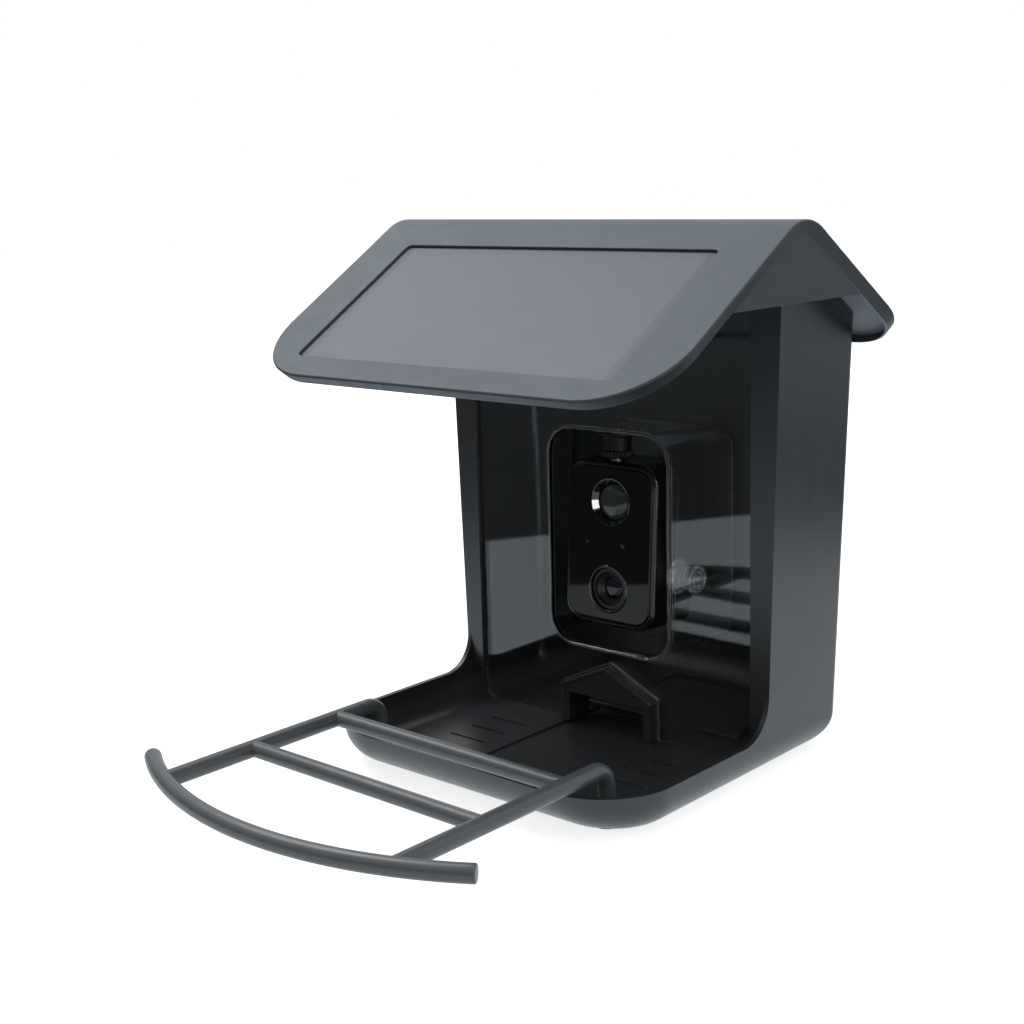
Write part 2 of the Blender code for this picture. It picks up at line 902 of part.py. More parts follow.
def make_chute():
    """Two side slopes with their front webs, and a rear ramp, trimmed to the housing's cavity."""
    chute_front = flange_thickness + 2 * gap + pane_thickness
    inner = hood_half_width + outlet_clearance
    outer = half_width_at(chute_high)
    inner_height = chute_high - (window_half_width - inner) * chute_pitch_share
    outer_height = chute_high + (outer - window_half_width) * chute_pitch_share
    drop = chute_thickness * math.hypot(1, chute_pitch_share)
    depth = base_rear - chute_front
    view = Matrix.Translation((0, chute_front + depth / 2, 0)) @ FRONT_VIEW
    slopes = []
    for side in (-1, 1):
        outline = [
            (side * inner, inner_height),
            (side * outer, outer_height),
            (side * outer, outer_height - drop),
            (side * inner, inner_height - drop),
        ]
        slopes.append(outline)
    body = plate("seed_chute", slopes[0], depth, dark, view)
    join(body, plate("add_chute_slope", slopes[1], depth, view=view))
    low = floor_thickness + gap
    ahead = Matrix.Translation((0, chute_front + chute_thickness / 2, 0)) @ FRONT_VIEW
    for side in (-1, 1):
        web = [
            (side * inner, low),
            (side * outer, low),
            (side * outer, outer_height - drop / 2),
            (side * inner, inner_height - drop / 2),
        ]
        join(body, plate(f"add_chute_web_{side}", web, chute_thickness, view=ahead))
    ramp = [
        (chute_ramp_front, low),
        (base_rear, chute_ramp_height - chute_thickness),
        (base_rear, chute_ramp_height),
        (chute_ramp_front, low + chute_thickness),
    ]
    half_span = window_half_width - (chute_high - chute_ramp_height) / chute_pitch_share
    join(body, plate("add_chute_ramp", ramp, 2 * half_span, view=SIDE_VIEW))
    wall = side_wall + gap
    rounds = (side_fillet - wall, front_fillet - wall)
    room = housing_block("keep_chute", wall, low, *rounds, rear_frame + gap, outer_height + overrun)
    return combine(body, room, "INTERSECT")


def make_hood():
    """The gabled frame round the seed outlet, with a roof lip that stands proud in front."""
    low = floor_thickness + gap
    outer = [
        (-hood_half_width, low),
        (hood_half_width, low),
        (hood_half_width, hood_eave),
        (0, hood_peak),
        (-hood_half_width, hood_eave),
    ]
    middle = Matrix.Translation((0, hood_depth / 2 - hood_front, 0)) @ FRONT_VIEW
    body = plate("outlet_hood", outer, hood_depth, dark, middle)
    way = [
        (-hood_opening_half_width, low - overrun),
        (hood_opening_half_width, low - overrun),
        (hood_opening_half_width, hood_opening_height),
        (-hood_opening_half_width, hood_opening_height),
    ]
    cut(body, plate("cut_hood_way", way, 2 * hood_depth, view=middle))
    inset = hood_lip
    face = [
        (-hood_half_width + 2 * inset, low - overrun),
        (hood_half_width - 2 * inset, low - overrun),
        (hood_half_width - 2 * inset, hood_eave - inset),
        (0, hood_peak - 2 * inset),
        (-hood_half_width + 2 * inset, hood_eave - inset),
    ]
    recess = Matrix.Translation((0, -hood_front, 0)) @ FRONT_VIEW
    cut(body, plate("cut_hood_face", face, 2 * hood_lip, view=recess))
    return body


def make_plug():
    """The clear push-in plug, turned about an axis across the feeder."""
    inside = -(pocket_wall + gap + plug_flange_thickness)
    profile = [
        (0, plug_reach - plug_recess),
        (plug_recess, plug_reach - plug_recess),
        (plug_recess, plug_reach),
        (plug_cap - plug_cap_thickness / 2, plug_reach),
        (plug_cap, plug_reach - plug_cap_thickness / 2),
        (plug_cap, plug_reach - plug_cap_thickness),
        (plug_hole, plug_reach - 2 * plug_cap_thickness),
        (plug_hole, -pocket_wall - gap),
        (plug_flange, -pocket_wall - gap),
        (plug_flange, inside + plug_flange_thickness / 2),
        (plug_flange - plug_flange_thickness, inside),
        (plug_recess, inside),
        (plug_recess, inside + plug_flange_thickness),
        (0, inside + plug_flange_thickness),
    ]
    turn = Matrix.Translation((pocket_half_width, plug_y, plug_height)) @ ACROSS
    return turned("side_plug", profile, silicone, turn=turn)


def make_roof():
    """The roof shell: made flat with its skirt and panel tray, bent over the ridge, closed by gables."""
    radii = (roof_front_corner, roof_rear_corner)

    def ring(inset, rise):
        outline = rounded_outline(
            -roof_half_width + inset,
            roof_half_width - inset,
            -front_slope + inset,
            rear_slope - inset,
            radii[0] - inset,
            radii[1] - inset,
            roof_corner_steps,
        )
        return [(across, along, rise) for across, along in outline]

    edge = roof_edge_round
    flat = loft(
        "roof_lid",
        [
            ring(roof_skirt_draft, -roof_skirt),
            ring(0, -edge),
            ring(edge * quarter_round_share, -edge * quarter_round_share),
            ring(edge, 0),
        ],
        grey,
    )
    wall = roof_sheet
    cavity = loft(
        "cut_roof_cavity",
        [ring(wall + roof_skirt_draft, -roof_skirt - overrun), ring(wall, -roof_sheet)],
    )
    cut(flat, cavity)
    half = solar_half_width
    high = -solar_high
    low = high - solar_length
    radius = solar_corner_radius
    floor = solar_recess + roof_sheet
    wide = half + roof_sheet
    tray = rounded_outline(-wide, wide, low - wall, high + wall, radius, radius, small_corner_steps)
    below = Matrix.Translation((0, 0, -(floor + roof_sheet / 2) / 2))
    pan = plate("add_panel_tray", tray, floor - roof_sheet / 2, view=below)
    join(flat, pan)
    recess = rounded_outline(-half, half, low, high, radius, radius, small_corner_steps)
    cut(flat, plate("cut_panel_seat", recess, 2 * solar_recess, view=Matrix.Identity(4)))
    hole = (0, high - junction_from_edge)
    cut(
        flat,
        rod("cut_panel_wires", solar_wire_hole, (*hole, -floor - overrun), (*hole, overrun)),
    )
    bake(flat)
    bend_to_roof(flat)
    # Gable ends, closed up into the roof sheet
    sink = roof_sheet / 2
    top = roof_point(0, -sink)
    front_top = roof_point(-ridge_radius, -sink)
    rear_top = roof_point(ridge_radius, -sink)
    drop = gable_drop
    front_end = -(drop - sink / math.cos(front_pitch)) / math.sin(front_pitch)
    rear_end = (drop - sink / math.cos(rear_pitch)) / math.sin(rear_pitch)
    front_foot = roof_point(front_end, -sink)
    rear_foot = roof_point(rear_end, -sink)
    gable = [tuple(front_foot), tuple(rear_foot), tuple(rear_top), tuple(top), tuple(front_top)]
    for side in (-1, 1):
        across = side * (roof_half_width - gable_set_in - gable_thickness / 2)
        view = Matrix.Translation((across, 0, 0)) @ SIDE_VIEW
        join(flat, plate(f"add_gable_{side}", gable, gable_thickness, view=view))
    under = rear_plane(hinge_y) - roof_sheet / 2
    for side in (-1, 1):
        for end in (-1, 1):
            near = side * hinge_side + end * (hinge_middle / 2 + gap)
            far = near + end * hinge_outer
            place = f"{side}_{end}"
            knuckle = rod(
                f"add_roof_knuckle_{place}",
                hinge_radius,
                (min(near, far), hinge_y, hinge_height),
                (max(near, far), hinge_y, hinge_height),
            )
            ear = box(
                f"add_roof_ear_{place}",
                (min(near, far), hinge_y - hinge_pin_radius, hinge_height),
                (max(near, far), hinge_y + hinge_pin_radius, under),
            )
            hole = rod(
                f"cut_roof_pin_{place}",
                hinge_pin_radius + gap,
                (min(near, far) - overrun, hinge_y, hinge_height),
                (max(near, far) + overrun, hinge_y, hinge_height),
            )
            join(flat, knuckle, ear)
            cut(flat, hole)
    return flat


def make_hinge_pins():
    half = hinge_middle / 2 + gap + hinge_outer
    for i, side in enumerate((-1, 1)):
        near = (side * hinge_side - half, hinge_y, hinge_height)
        far = (side * hinge_side + half, hinge_y, hinge_height)
        rod(f"hinge_pin_{i + 1}", hinge_pin_radius, near, far, steel)


def slope_matrix(run, rise):
    """A frame on the front slope: local X across, Y up along the slope, Z square to it."""
    place = roof_point(run, rise)
    return Matrix.Translation((0, place.x, place.y)) @ Matrix.Rotation(front_pitch, 4, "X")


def make_solar():
    """The cells' wafer and the glass that lies in the roof's recess, and the box of their wires below it."""
    middle = -(solar_high + solar_length / 2)
    half = solar_half_width - gap
    long = solar_length / 2 - gap
    outline = rounded_outline(
        -half, half, -long, long, solar_corner_radius, solar_corner_radius, small_corner_steps
    )
    wafer_rise = -solar_recess + gap + solar_cell_thickness / 2
    narrower, shorter = 1 - solar_border / half, 1 - solar_border / long
    inner = [(across * narrower, up * shorter) for across, up in outline]
    wafer = plate("solar_cells", inner, solar_cell_thickness, cells, slope_matrix(middle, wafer_rise))
    glass_rise = wafer_rise + solar_cell_thickness / 2 + gap + solar_glass_thickness / 2
    pane = plate("solar_glass", outline, solar_glass_thickness, glass, slope_matrix(middle, glass_rise))
    box_run = -(solar_high + junction_from_edge)
    top = -(solar_recess + roof_sheet + gap)
    body = box(
        "solar_junction_box",
        (-junction_half_width, -junction_length / 2, top - junction_height),
        (junction_half_width, junction_length / 2, top),
        black,
    )
    neck = rod(
        "add_junction_neck",
        solar_wire_hole - gap,
        (0, 0, top - junction_height / 2),
        (0, 0, -solar_recess - gap),
    )
    join(body, neck)
    bake(body)
    body.data.transform(slope_matrix(box_run, 0))
    return [wafer, pane, body]


def make_perch():
    """A ladder of round bars: two rods that hook down into the tray, two rungs and a bowed front bar."""
    legs = []
    front_drop = perch_front_curve - math.sqrt(perch_front_curve**2 - perch_half_width**2)
    rod_front = -(perch_front_y - front_drop)
    for side in (-1, 1):
        across = side * perch_half_width
        centre = (-perch_leg_y - perch_bend, perch_height - perch_bend)
        path = [(across, -perch_leg_y, floor_thickness + gap), (across, -perch_leg_y, centre[1])]
        for along, up in arc(centre, perch_bend, 0, 90, small_corner_steps + 2)[1:]:
            path.append((across, along, up))
        path.append((across, rod_front, perch_height))
        legs.append(path)
    body = tube("perch_frame", legs[0], perch_radius, slate)
    join(body, tube("add_perch_rod", legs[1], perch_radius))
    for i in range(2):
        along = -(perch_bar_y + i * perch_bar_pitch)
        rung = tube(
            f"add_perch_rung_{i}",
            [(-perch_half_width, along, perch_height), (perch_half_width, along, perch_height)],
            perch_rung_radius,
        )
        join(body, rung)
    spread = math.degrees(math.asin(perch_front_half_length / perch_front_curve))
    centre = (0, -perch_front_y + perch_front_curve)
    bow = arc(centre, perch_front_curve, -90 - spread, -90 + spread, 2 * corner_steps)
    join(body, tube("add_perch_bow", [(*point, perch_height) for point in bow], perch_front_radius))
    return body


def make_post():
    """The post under the pocket's ceiling, with half of a ball socket in its lower end."""
    seat = ball_radius + gap
    low = -ball_drop
    steps = small_corner_steps
    profile = [
        (0, pocket_wall + nut_height),
        (bolt_radius, pocket_wall + nut_height),
        (bolt_radius, -gap),
        (post_flange, -gap),
        (post_flange, -gap - post_flange_thickness / 2),
        (post_radius, -gap - post_flange_thickness),
        (post_radius, low),
    ]
    profile += [(radius, low + up) for radius, up in arc((0, 0), seat, 0, 90, 2 * steps)]
    profile[-1] = (0, low + seat)
    return turned("mount_post", profile, black)


def make_nut():
    """The knurled nut that draws the post against the ceiling from above."""
    low = pocket_wall + gap
    body = plate("mount_nut", knurl(nut_radius), nut_height - gap, black)
    body.data.transform(Matrix.Translation((0, 0, low + (nut_height - gap) / 2)))
    hole = rod("cut_nut", bolt_radius + gap, (0, 0, low - overrun), (0, 0, low + nut_height + overrun))
    cut(body, hole)
    bake(body)
    return body


def knurl(radius):
    """A round outline with shallow ribs."""
    points = []
    for i in range(4 * collar_ribs):
        angle = 2 * math.pi * i / (4 * collar_ribs)
        reach = radius if i % 4 < 2 else radius - collar_rib_depth
        points.append((reach * math.cos(angle), reach * math.sin(angle)))
    return points


def make_collar():
    """The locking ring below the post, with the lower part of the ball's seat."""
    seat = ball_radius + gap
    low = -ball_drop - gap - collar_height
    body = plate("locking_collar", knurl(collar_radius), collar_height, black)
    body.data.transform(Matrix.Translation((0, 0, low + collar_height / 2)))
    bm = bmesh.new()
    bmesh.ops.create_uvsphere(bm, u_segments=turn_sides, v_segments=small_turn_sides, radius=seat)
    bmesh.ops.translate(bm, vec=(0, 0, -ball_drop), verts=bm.verts)
    cut(body, from_bmesh("cut_collar_seat", bm))
    bake(body)
    return body


def make_ball():
    """The ball, its stem and the foot that screws to the camera's top."""
    steps = small_corner_steps
    neck = math.degrees(math.acos(stem_radius / ball_radius))
    profile = [(radius, up) for radius, up in arc((0, 0), ball_radius, 90, -neck, 3 * steps)]
    profile[0] = (0, ball_radius)
    foot = -(camera_top - gap - ball_drop)
    profile += [
        (stem_radius, foot + foot_thickness),
        (foot_radius, foot + foot_thickness),
        (foot_radius, foot),
        (0, foot),
    ]
    return turned("ball_stud", profile, steel)


def camera_ring(width, height, radius, inset, depth):
    outline = rounded_outline(
        -width / 2 + inset,
        width / 2 - inset,
        -height / 2 + inset,
        height / 2 - inset,
        max(radius - inset, camera_edge),
        max(radius - inset, camera_edge),
    )
    return [(across, depth, up + camera_middle()) for across, up in outline]


def camera_middle():
    """The height of the camera's middle, below the ball."""
    return -(camera_top - ball_drop) - camera_height / 2


def camera_loft(name, sections, finish=None, width=camera_width, height=camera_height, radius=camera_corner):
    rings = [camera_ring(width, height, radius, inset, depth) for inset, depth in sections]
    return loft(name, rings, finish)


def camera_disc(name, radius, across, up, near, far, finish=None, sides=small_turn_sides):
    """A cylinder square to the camera's face, between two depths."""
    middle = camera_middle()
    return rod(name, radius, (across, near, up + middle), (across, far, up + middle), finish, sides)


def camera_turned(name, profile, across, up, depth, finish, ring=False, sides=turn_sides):
    """A turned piece whose axis points forward out of the camera's face at a depth."""
    turn = Matrix.Translation((across, depth, up + camera_middle())) @ FORWARD
    return turned(name, profile, finish, sides, ring, turn)


def camera_screw_places():
    return [(side * camera_screw_side, end * camera_screw_up) for side in (-1, 1) for end in (-1, 1)]


def casing_front():
    """The front shell: a rim round the faceplate's seat, a wall behind it and four screw bosses."""
    edge = camera_edge
    soft = edge * quarter_round_share
    body = camera_loft(
        "camera_front",
        [(edge, -camera_front), (soft, -camera_front + soft), (0, -camera_front + edge), (0, camera_seam)],
        black,
    )
    hollow = camera_loft(
        "cut_camera_front", [(camera_wall, face_seat() + camera_wall), (camera_wall, camera_seam + overrun)]
    )
    seat = camera_loft(
        "cut_face_seat",
        [(-gap, -camera_front - overrun), (-gap, face_seat())],
        width=face_width,
        height=face_height,
        radius=face_corner,
    )
    cut(body, hollow, seat)
    ends = (-camera_front, face_seat() + camera_wall + overrun)
    cut(
        body,
        camera_disc("cut_pir_way", pir_bush_radius + gap, 0, pir_up, *ends, sides=turn_sides),
        camera_disc("cut_lens_way", barrel_radius + gap, 0, -lens_down, *ends, sides=turn_sides),
    )
    for i, (across, up) in enumerate(camera_screw_places()):
        start = face_seat() + camera_wall / 2
        join(body, camera_disc(f"add_boss_{i}", camera_boss, across, up, start, boss_end()))
        bore = camera_rear - screw_length - gap
        cut(body, camera_disc(f"cut_boss_{i}", screw_shank + gap, across, up, bore, boss_end() + overrun))
    return body


def face_front():
    return -camera_front - face_proud


def face_seat():
    """The depth of the wall that the faceplate rests on."""
    return face_front() + face_thickness + gap


def boss_end():
    return camera_rear - camera_wall - gap


def faceplate():
    near = face_front()
    body = camera_loft(
        "camera_faceplate",
        [(face_proud, near), (0, near + face_proud), (0, near + face_thickness)],
        gloss,
        width=face_width,
        height=face_height,
        radius=face_corner,
    )
    holes = [
        ("pir", pir_ring_radius + gap, 0, pir_up),
        ("lens", lens_ring_radius + gap, 0, -lens_down),
        ("led", led_radius + gap, led_x, led_up),
        ("light", sensor_radius + gap, -sensor_x, led_up),
        ("port", port_radius, port_x, -port_down),
    ]
    for name, radius, across, up in holes:
        ends = (near - overrun, face_seat() + overrun)
        cut(body, camera_disc(f"cut_face_{name}", radius, across, up, *ends, sides=turn_sides))
    return body


def motion_sensor():
    """The flanged ring with its cone, the lens dome at the cone's foot and the sensor can behind it."""
    wide = pir_ring_radius - face_proud
    ring_profile = [
        (pir_ring_radius, -face_proud),
        (pir_ring_radius, -face_thickness),
        (pir_bush_radius, -face_thickness),
        (pir_bush_radius, -pir_bush_depth),
        (pir_bore, -pir_bush_depth),
        (pir_bore, -pir_cone_depth),
        (wide - face_proud, 0),
        (wide, 0),
    ]
    ring = camera_turned("pir_ring", ring_profile, 0, pir_up, face_front(), gloss, ring=True)
    radius = pir_bore - gap
    base = -pir_bush_depth + pir_dome_edge
    profile = []
    for radius_share, up_share in arc((0, 0), 1, 90, 0, corner_steps):
        profile.append((radius * radius_share, base + pir_dome_height * up_share))
    profile[0] = (0, base + pir_dome_height)
    profile += [(radius, -pir_bush_depth), (0, -pir_bush_depth)]
    lens_dome = camera_turned("pir_dome", profile, 0, pir_up, face_front(), dome)
    top = -pir_bush_depth - gap
    profile = [
        (0, top),
        (pir_can_radius, top),
        (pir_can_radius, top - pir_can_height),
        (pir_stem_radius, top - pir_can_height),
        (pir_stem_radius, -barrel_lip - barrel_length),
        (0, -barrel_lip - barrel_length),
    ]
    can = camera_turned("pir_sensor", profile, 0, pir_up, face_front(), steel)
    return [ring, lens_dome, can]


def camera_eye():
    """The lens ring, the stepped barrel and the front lens."""
    soft = lens_ring_proud
    profile = [
        (lens_ring_radius, 0),
        (lens_ring_radius, -face_thickness),
        (lens_ring_bore, -face_thickness),
        (lens_ring_bore, soft / 2),
        (lens_ring_bore + soft / 2, soft),
        (lens_ring_radius - soft, soft),
    ]
    ring = camera_turned("lens_ring", profile, 0, -lens_down, face_front(), gloss, ring=True)
    low = -barrel_lip - barrel_step_depth
    seat = low - barrel_cone_depth
    profile = [
        (0, seat - lens_bulge),
        (lens_radius + gap, seat - lens_bulge),
        (lens_radius + gap, seat),
        (barrel_step_radius, low),
        (barrel_step_radius, -barrel_lip),
        (barrel_radius, -barrel_lip),
        (barrel_radius, -barrel_lip - barrel_length),
        (0, -barrel_lip - barrel_length),
    ]
    barrel = camera_turned("lens_barrel", profile, 0, -lens_down, face_front(), black)
    profile = []
    for radius_share, up_share in arc((0, 0), 1, 90, 0, corner_steps):
        profile.append((lens_radius * radius_share, seat + lens_bulge * (up_share - 1) / 2 + lens_bulge / 2))
    profile[0] = (0, seat + lens_bulge / 2)
    profile += [(lens_radius, seat - lens_bulge + gap), (0, seat - lens_bulge + gap)]
    front_lens = camera_turned("lens_glass", profile, 0, -lens_down, face_front(), lens)
    return [ring, barrel, front_lens]


def camera_inside():
    """The main board behind the barrel, notched round the bosses, and two cells behind the board."""
    near = face_front() + barrel_lip + barrel_length + gap
    margin = camera_wall + board_margin
    half = camera_width / 2 - margin
    tall = camera_height / 2 - margin
    outline = rounded_outline(-half, half, -tall, tall, face_corner, face_corner, small_corner_steps)
    view = Matrix.Translation((0, near + board_thickness / 2, camera_middle())) @ FRONT_VIEW
    main_board = plate("main_board", outline, board_thickness, board, view)
    for i, (across, up) in enumerate(camera_screw_places()):
        reach = camera_boss + gap
        ends = (near - overrun, near + board_thickness + overrun)
        cut(main_board, camera_disc(f"cut_board_{i}", reach, across, up, *ends))
    cell_y = near + board_thickness + gap + battery_radius
    made = [main_board]
    for i, side in enumerate((-1, 1)):
        across = side * battery_pitch / 2
        low = (across, cell_y, camera_middle() - battery_length / 2)
        high = (across, cell_y, camera_middle() + battery_length / 2)
        made.append(rod(f"battery_cell_{i + 1}", battery_radius, low, high, sleeve, turn_sides))
    return made


def casing_rear():
    """The rear shell with its screws, the power button and the cover of the charging port."""
    edge = camera_edge
    soft = edge * quarter_round_share
    body = camera_loft(
        "camera_rear",
        [(0, camera_seam + gap), (0, camera_rear - edge), (soft, camera_rear - soft), (edge, camera_rear)],
        black,
    )
    far = (camera_wall + soft, camera_rear - camera_wall)
    hollow = camera_loft("cut_camera_rear", [(camera_wall, camera_seam - overrun), far])
    cut(body, hollow)
    ends = (camera_seam, camera_rear + overrun)
    cut(body, camera_disc("cut_button", button_radius + gap, 0, -button_down, *ends, sides=turn_sides))
    outward = Matrix.Rotation(math.radians(-90), 4, "X")
    place = Matrix.Translation((0, camera_rear, camera_middle() - button_down)) @ outward
    power = turned("power_button", button_profile(), rubber, turn=place)
    half = (usb_width / 2, usb_height / 2)
    level = camera_middle() + usb_up
    near = camera_rear - camera_wall
    port = box(
        "cut_usb",
        (-half[0] + usb_thickness, near - overrun, level - half[1] + usb_thickness),
        (half[0] - usb_thickness, camera_rear + overrun, level + half[1] - usb_thickness),
    )
    cut(body, port)
    inside = usb_thickness + gap
    cover = box(
        "usb_cover",
        (-half[0], camera_rear + gap, level - half[1]),
        (half[0], camera_rear + gap + usb_thickness, level + half[1]),
        rubber,
    )
    stub = box(
        "add_usb_stub",
        (-half[0] + inside, near, level - half[1] + inside),
        (half[0] - inside, camera_rear + gap + usb_thickness / 2, level + half[1] - inside),
    )
    join(cover, stub)
    made = [body, cover]
    for i, (across, up) in enumerate(camera_screw_places()):
        sink = camera_rear - screw_head_height - gap
        end = camera_rear + overrun
        hole = camera_disc(f"cut_case_screw_{i}", screw_shank + gap, across, up, camera_seam, end)
        head = camera_disc(f"cut_case_head_{i}", screw_head + gap, across, up, sink, end)
        cut(body, hole, head)
        spot = Matrix.Translation((across, camera_rear, camera_middle() + up)) @ outward
        made.append(make_screw(f"case_screw_{i + 1}", spot))
    return made, power


def indicators():
    """The status lamp and the light sensor, flush in the faceplate."""
    near = face_front()
    far = near + face_thickness
    lit = camera_disc("status_led", led_radius, led_x, led_up, near, far, lamp)
    light = camera_disc("light_sensor", sensor_radius, -sensor_x, led_up, near, far, lens)
    return [lit, light]


def button_profile():
    """The button's stem through the wall, with a flange that holds it inside."""
    wall = camera_wall + gap
    return [
        (0, button_proud),
        (button_radius - button_flange / 2, button_proud),
        (button_radius, button_proud - button_flange / 2),
        (button_radius, -wall),
        (button_radius + button_flange, -wall),
        (button_radius + button_flange, -wall - button_flange_thickness),
        (0, -wall - button_flange_thickness),
    ]


def gather_cutters_below(empty):
    """Gives the camera's cutters the same parent as the pieces that they shape."""
    used = set()
    for child in empty.children:
        for modifier in child.modifiers:
            if modifier.type == "BOOLEAN":
                used.add(modifier.object)
    for tool in used:
        tool.parent = empty


housing = make_housing()
make_rear_plate()
make_rear_screws()
make_insert()
window = make_window()
chute = make_chute()
hood = make_hood()
plug = make_plug()
roof = make_roof()
make_hinge_pins()
solar = make_solar()
parent_at("roof_hinge_axis", (0, hinge_y, hinge_height), [roof, *solar])
perch = make_perch()
parent_at("perch_lift_axis", (0, -perch_leg_y, floor_thickness), [perch])

lean = (-ceiling_draft, 0, 0)
ceiling = ceiling_matrix()
hanger = [make_post(), make_nut(), make_collar()]
parent_at("camera_pan_axis", ceiling.translation, hanger, lean, local=True)
rear_pieces, power_button = casing_rear()
camera = [make_ball(), casing_front(), faceplate(), *motion_sensor(), *camera_eye(), *indicators()]
camera += [*camera_inside(), *rear_pieces, power_button]
ball_centre = ceiling @ Vector((0, 0, -ball_drop))
camera_axis = parent_at("camera_tilt_axis", ball_centre, camera, lean, local=True)
gather_cutters_below(camera_axis)

smooth(housing, window, plug, roof, perch, chute, *hanger, *camera)
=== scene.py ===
"""The looks of the bird feeder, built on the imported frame."""
import json
from math import acos, asin, atan, cos, degrees, hypot, pi, radians, sin, sqrt, tan

import bmesh
import bpy
from mathutils import Matrix, Vector

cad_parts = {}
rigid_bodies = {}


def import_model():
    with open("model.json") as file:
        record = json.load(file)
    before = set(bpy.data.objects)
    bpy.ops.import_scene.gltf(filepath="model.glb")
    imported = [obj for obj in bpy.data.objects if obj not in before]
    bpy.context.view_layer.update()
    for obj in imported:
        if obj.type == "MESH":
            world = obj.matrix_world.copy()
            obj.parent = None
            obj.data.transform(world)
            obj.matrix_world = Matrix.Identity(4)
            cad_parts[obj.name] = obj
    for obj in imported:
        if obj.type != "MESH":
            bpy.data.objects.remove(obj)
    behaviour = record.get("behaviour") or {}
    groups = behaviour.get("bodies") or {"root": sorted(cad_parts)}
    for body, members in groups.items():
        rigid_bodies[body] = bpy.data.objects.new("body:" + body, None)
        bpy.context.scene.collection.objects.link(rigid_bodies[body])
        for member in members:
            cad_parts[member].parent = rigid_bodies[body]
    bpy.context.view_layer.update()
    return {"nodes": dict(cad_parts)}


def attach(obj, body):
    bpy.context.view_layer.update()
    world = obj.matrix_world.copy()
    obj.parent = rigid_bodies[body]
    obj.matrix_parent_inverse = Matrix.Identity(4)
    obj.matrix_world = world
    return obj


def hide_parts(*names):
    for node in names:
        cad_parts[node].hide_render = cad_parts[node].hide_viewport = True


for old in list(bpy.data.objects):
    bpy.data.objects.remove(old, do_unlink=True)

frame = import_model()
nodes = frame["nodes"]

# Sizes shared with the solids, in metres
gap = 0.0003
base_half_width = 0.0957
side_draft_share = 0.027
base_rear = 0.0643
rear_draft_share = 0.020
tray_depth = 0.1137
front_draft_share = 0.05
rim_height = 0.0200
side_wall = 0.0026
floor_thickness = 0.0030
front_corner_radius = 0.038
rear_corner_radius = 0.007
side_fillet = 0.016
front_fillet = 0.022
sweep_radius = 0.019
window_half_width = 0.0860
flange_thickness = 0.0020
rail_depth = 0.0020
rail_foot = 0.060
channel_half_width = 0.0270
channel_depth = 0.0010
drain_length = 0.024
drain_width = 0.0018
drain_pitch = 0.0155
drain_set_in = 0.050
drain_row_y = 0.0210
rear_frame = 0.0060
plate_thickness = 0.0026
plate_half_width = 0.0800
plate_low = 0.0260
plate_corner_radius = 0.0040
ledge_width = 0.0080
boss_radius = 0.0190
boss_height = 0.0070
boss_up = 0.1150
insert_radius = 0.0046
insert_bore = 0.0032
insert_depth = 0.0060
screw_shank = 0.0013
screw_length = 0.0050
screw_head = 0.0027
screw_head_height = 0.0012
peak_y = -0.0100
peak_height = 0.2660
front_pitch = radians(31.4)
rear_pitch = radians(32.9)
ridge_radius = 0.025
front_slope = 0.1360
rear_slope = 0.1167
roof_half_width = 0.1210
roof_front_corner = 0.040
roof_rear_corner = 0.030
roof_sheet = 0.0025
roof_skirt = 0.0066
roof_edge_round = 0.0020
roof_skirt_draft = 0.0020
gable_set_in = 0.0024
gable_thickness = 0.0026
gable_drop = 0.0404
solar_half_width = 0.0940
solar_high = 0.0310
solar_length = 0.0905
solar_recess = 0.0034
solar_glass_thickness = 0.0018
solar_cell_thickness = 0.0008
solar_corner_radius = 0.0030
hinge_y = 0.0780
hinge_drop = 0.0078702
hinge_height = peak_height - (hinge_y - peak_y) * tan(rear_pitch) - hinge_drop
hinge_radius = 0.0038
hinge_pin_radius = 0.0015
hinge_side = 0.0520
hinge_middle = 0.0140
hinge_outer = 0.0080
hinge_arm = 0.0050
hinge_arm_share = 0.8
plate_high = hinge_height - 0.0022
pane_thickness = 0.0025
pane_top = peak_height - 0.0280
pane_corner = 0.0060
pocket_half_width = 0.0385
pocket_low = 0.0440
pocket_high = 0.1590
pocket_corner = 0.0155
pocket_wall = 0.0018
pocket_depth = 0.0596
pocket_draft = radians(0.4)
ceiling_draft = radians(3.4)
pocket_rear_corner = 0.0090
pocket_rim = 0.0012
outlet_clearance = 0.0006
chute_high = 0.0389
chute_pitch_share = 0.635
chute_thickness = 0.0022
chute_ramp_height = 0.0240
chute_ramp_front = 0.0260
hood_half_width = 0.0292
hood_eave = 0.0236
hood_peak = 0.0372
hood_front = 0.0032
hood_depth = 0.0180
hood_opening_half_width = 0.0240
hood_opening_height = 0.0196
hood_lip = 0.0010
plug_y = 0.0122
plug_height = 0.0875
plug_hole = 0.0060
plug_flange = 0.0090
plug_flange_thickness = 0.0018
plug_reach = 0.0105
plug_cap = 0.0070
plug_cap_thickness = 0.0022
plug_recess = 0.0026
perch_height = 0.0280
perch_radius = 0.0040
perch_rung_radius = 0.0038
perch_front_radius = 0.0036
perch_half_width = 0.0717
perch_leg_y = 0.0915
perch_bend = 0.0085
perch_bar_y = 0.1199
perch_bar_pitch = 0.0520
perch_front_y = 0.2365
perch_front_curve = 0.188
perch_front_half_length = 0.1045
perch_end_trim = 0.0035
perch_bow_swell = 0.0004
socket_radius = 0.0074
socket_height = 0.0080
post_y = 0.0115
post_flange = 0.0105
post_flange_thickness = 0.0022
post_radius = 0.0072
ball_drop = 0.0092
ball_radius = 0.0042
stem_radius = 0.0018
collar_radius = 0.0080
collar_height = 0.0030
foot_radius = 0.0036
foot_thickness = 0.0010
bolt_radius = 0.0030
nut_radius = 0.0060
nut_height = 0.0040
camera_top = 0.0150
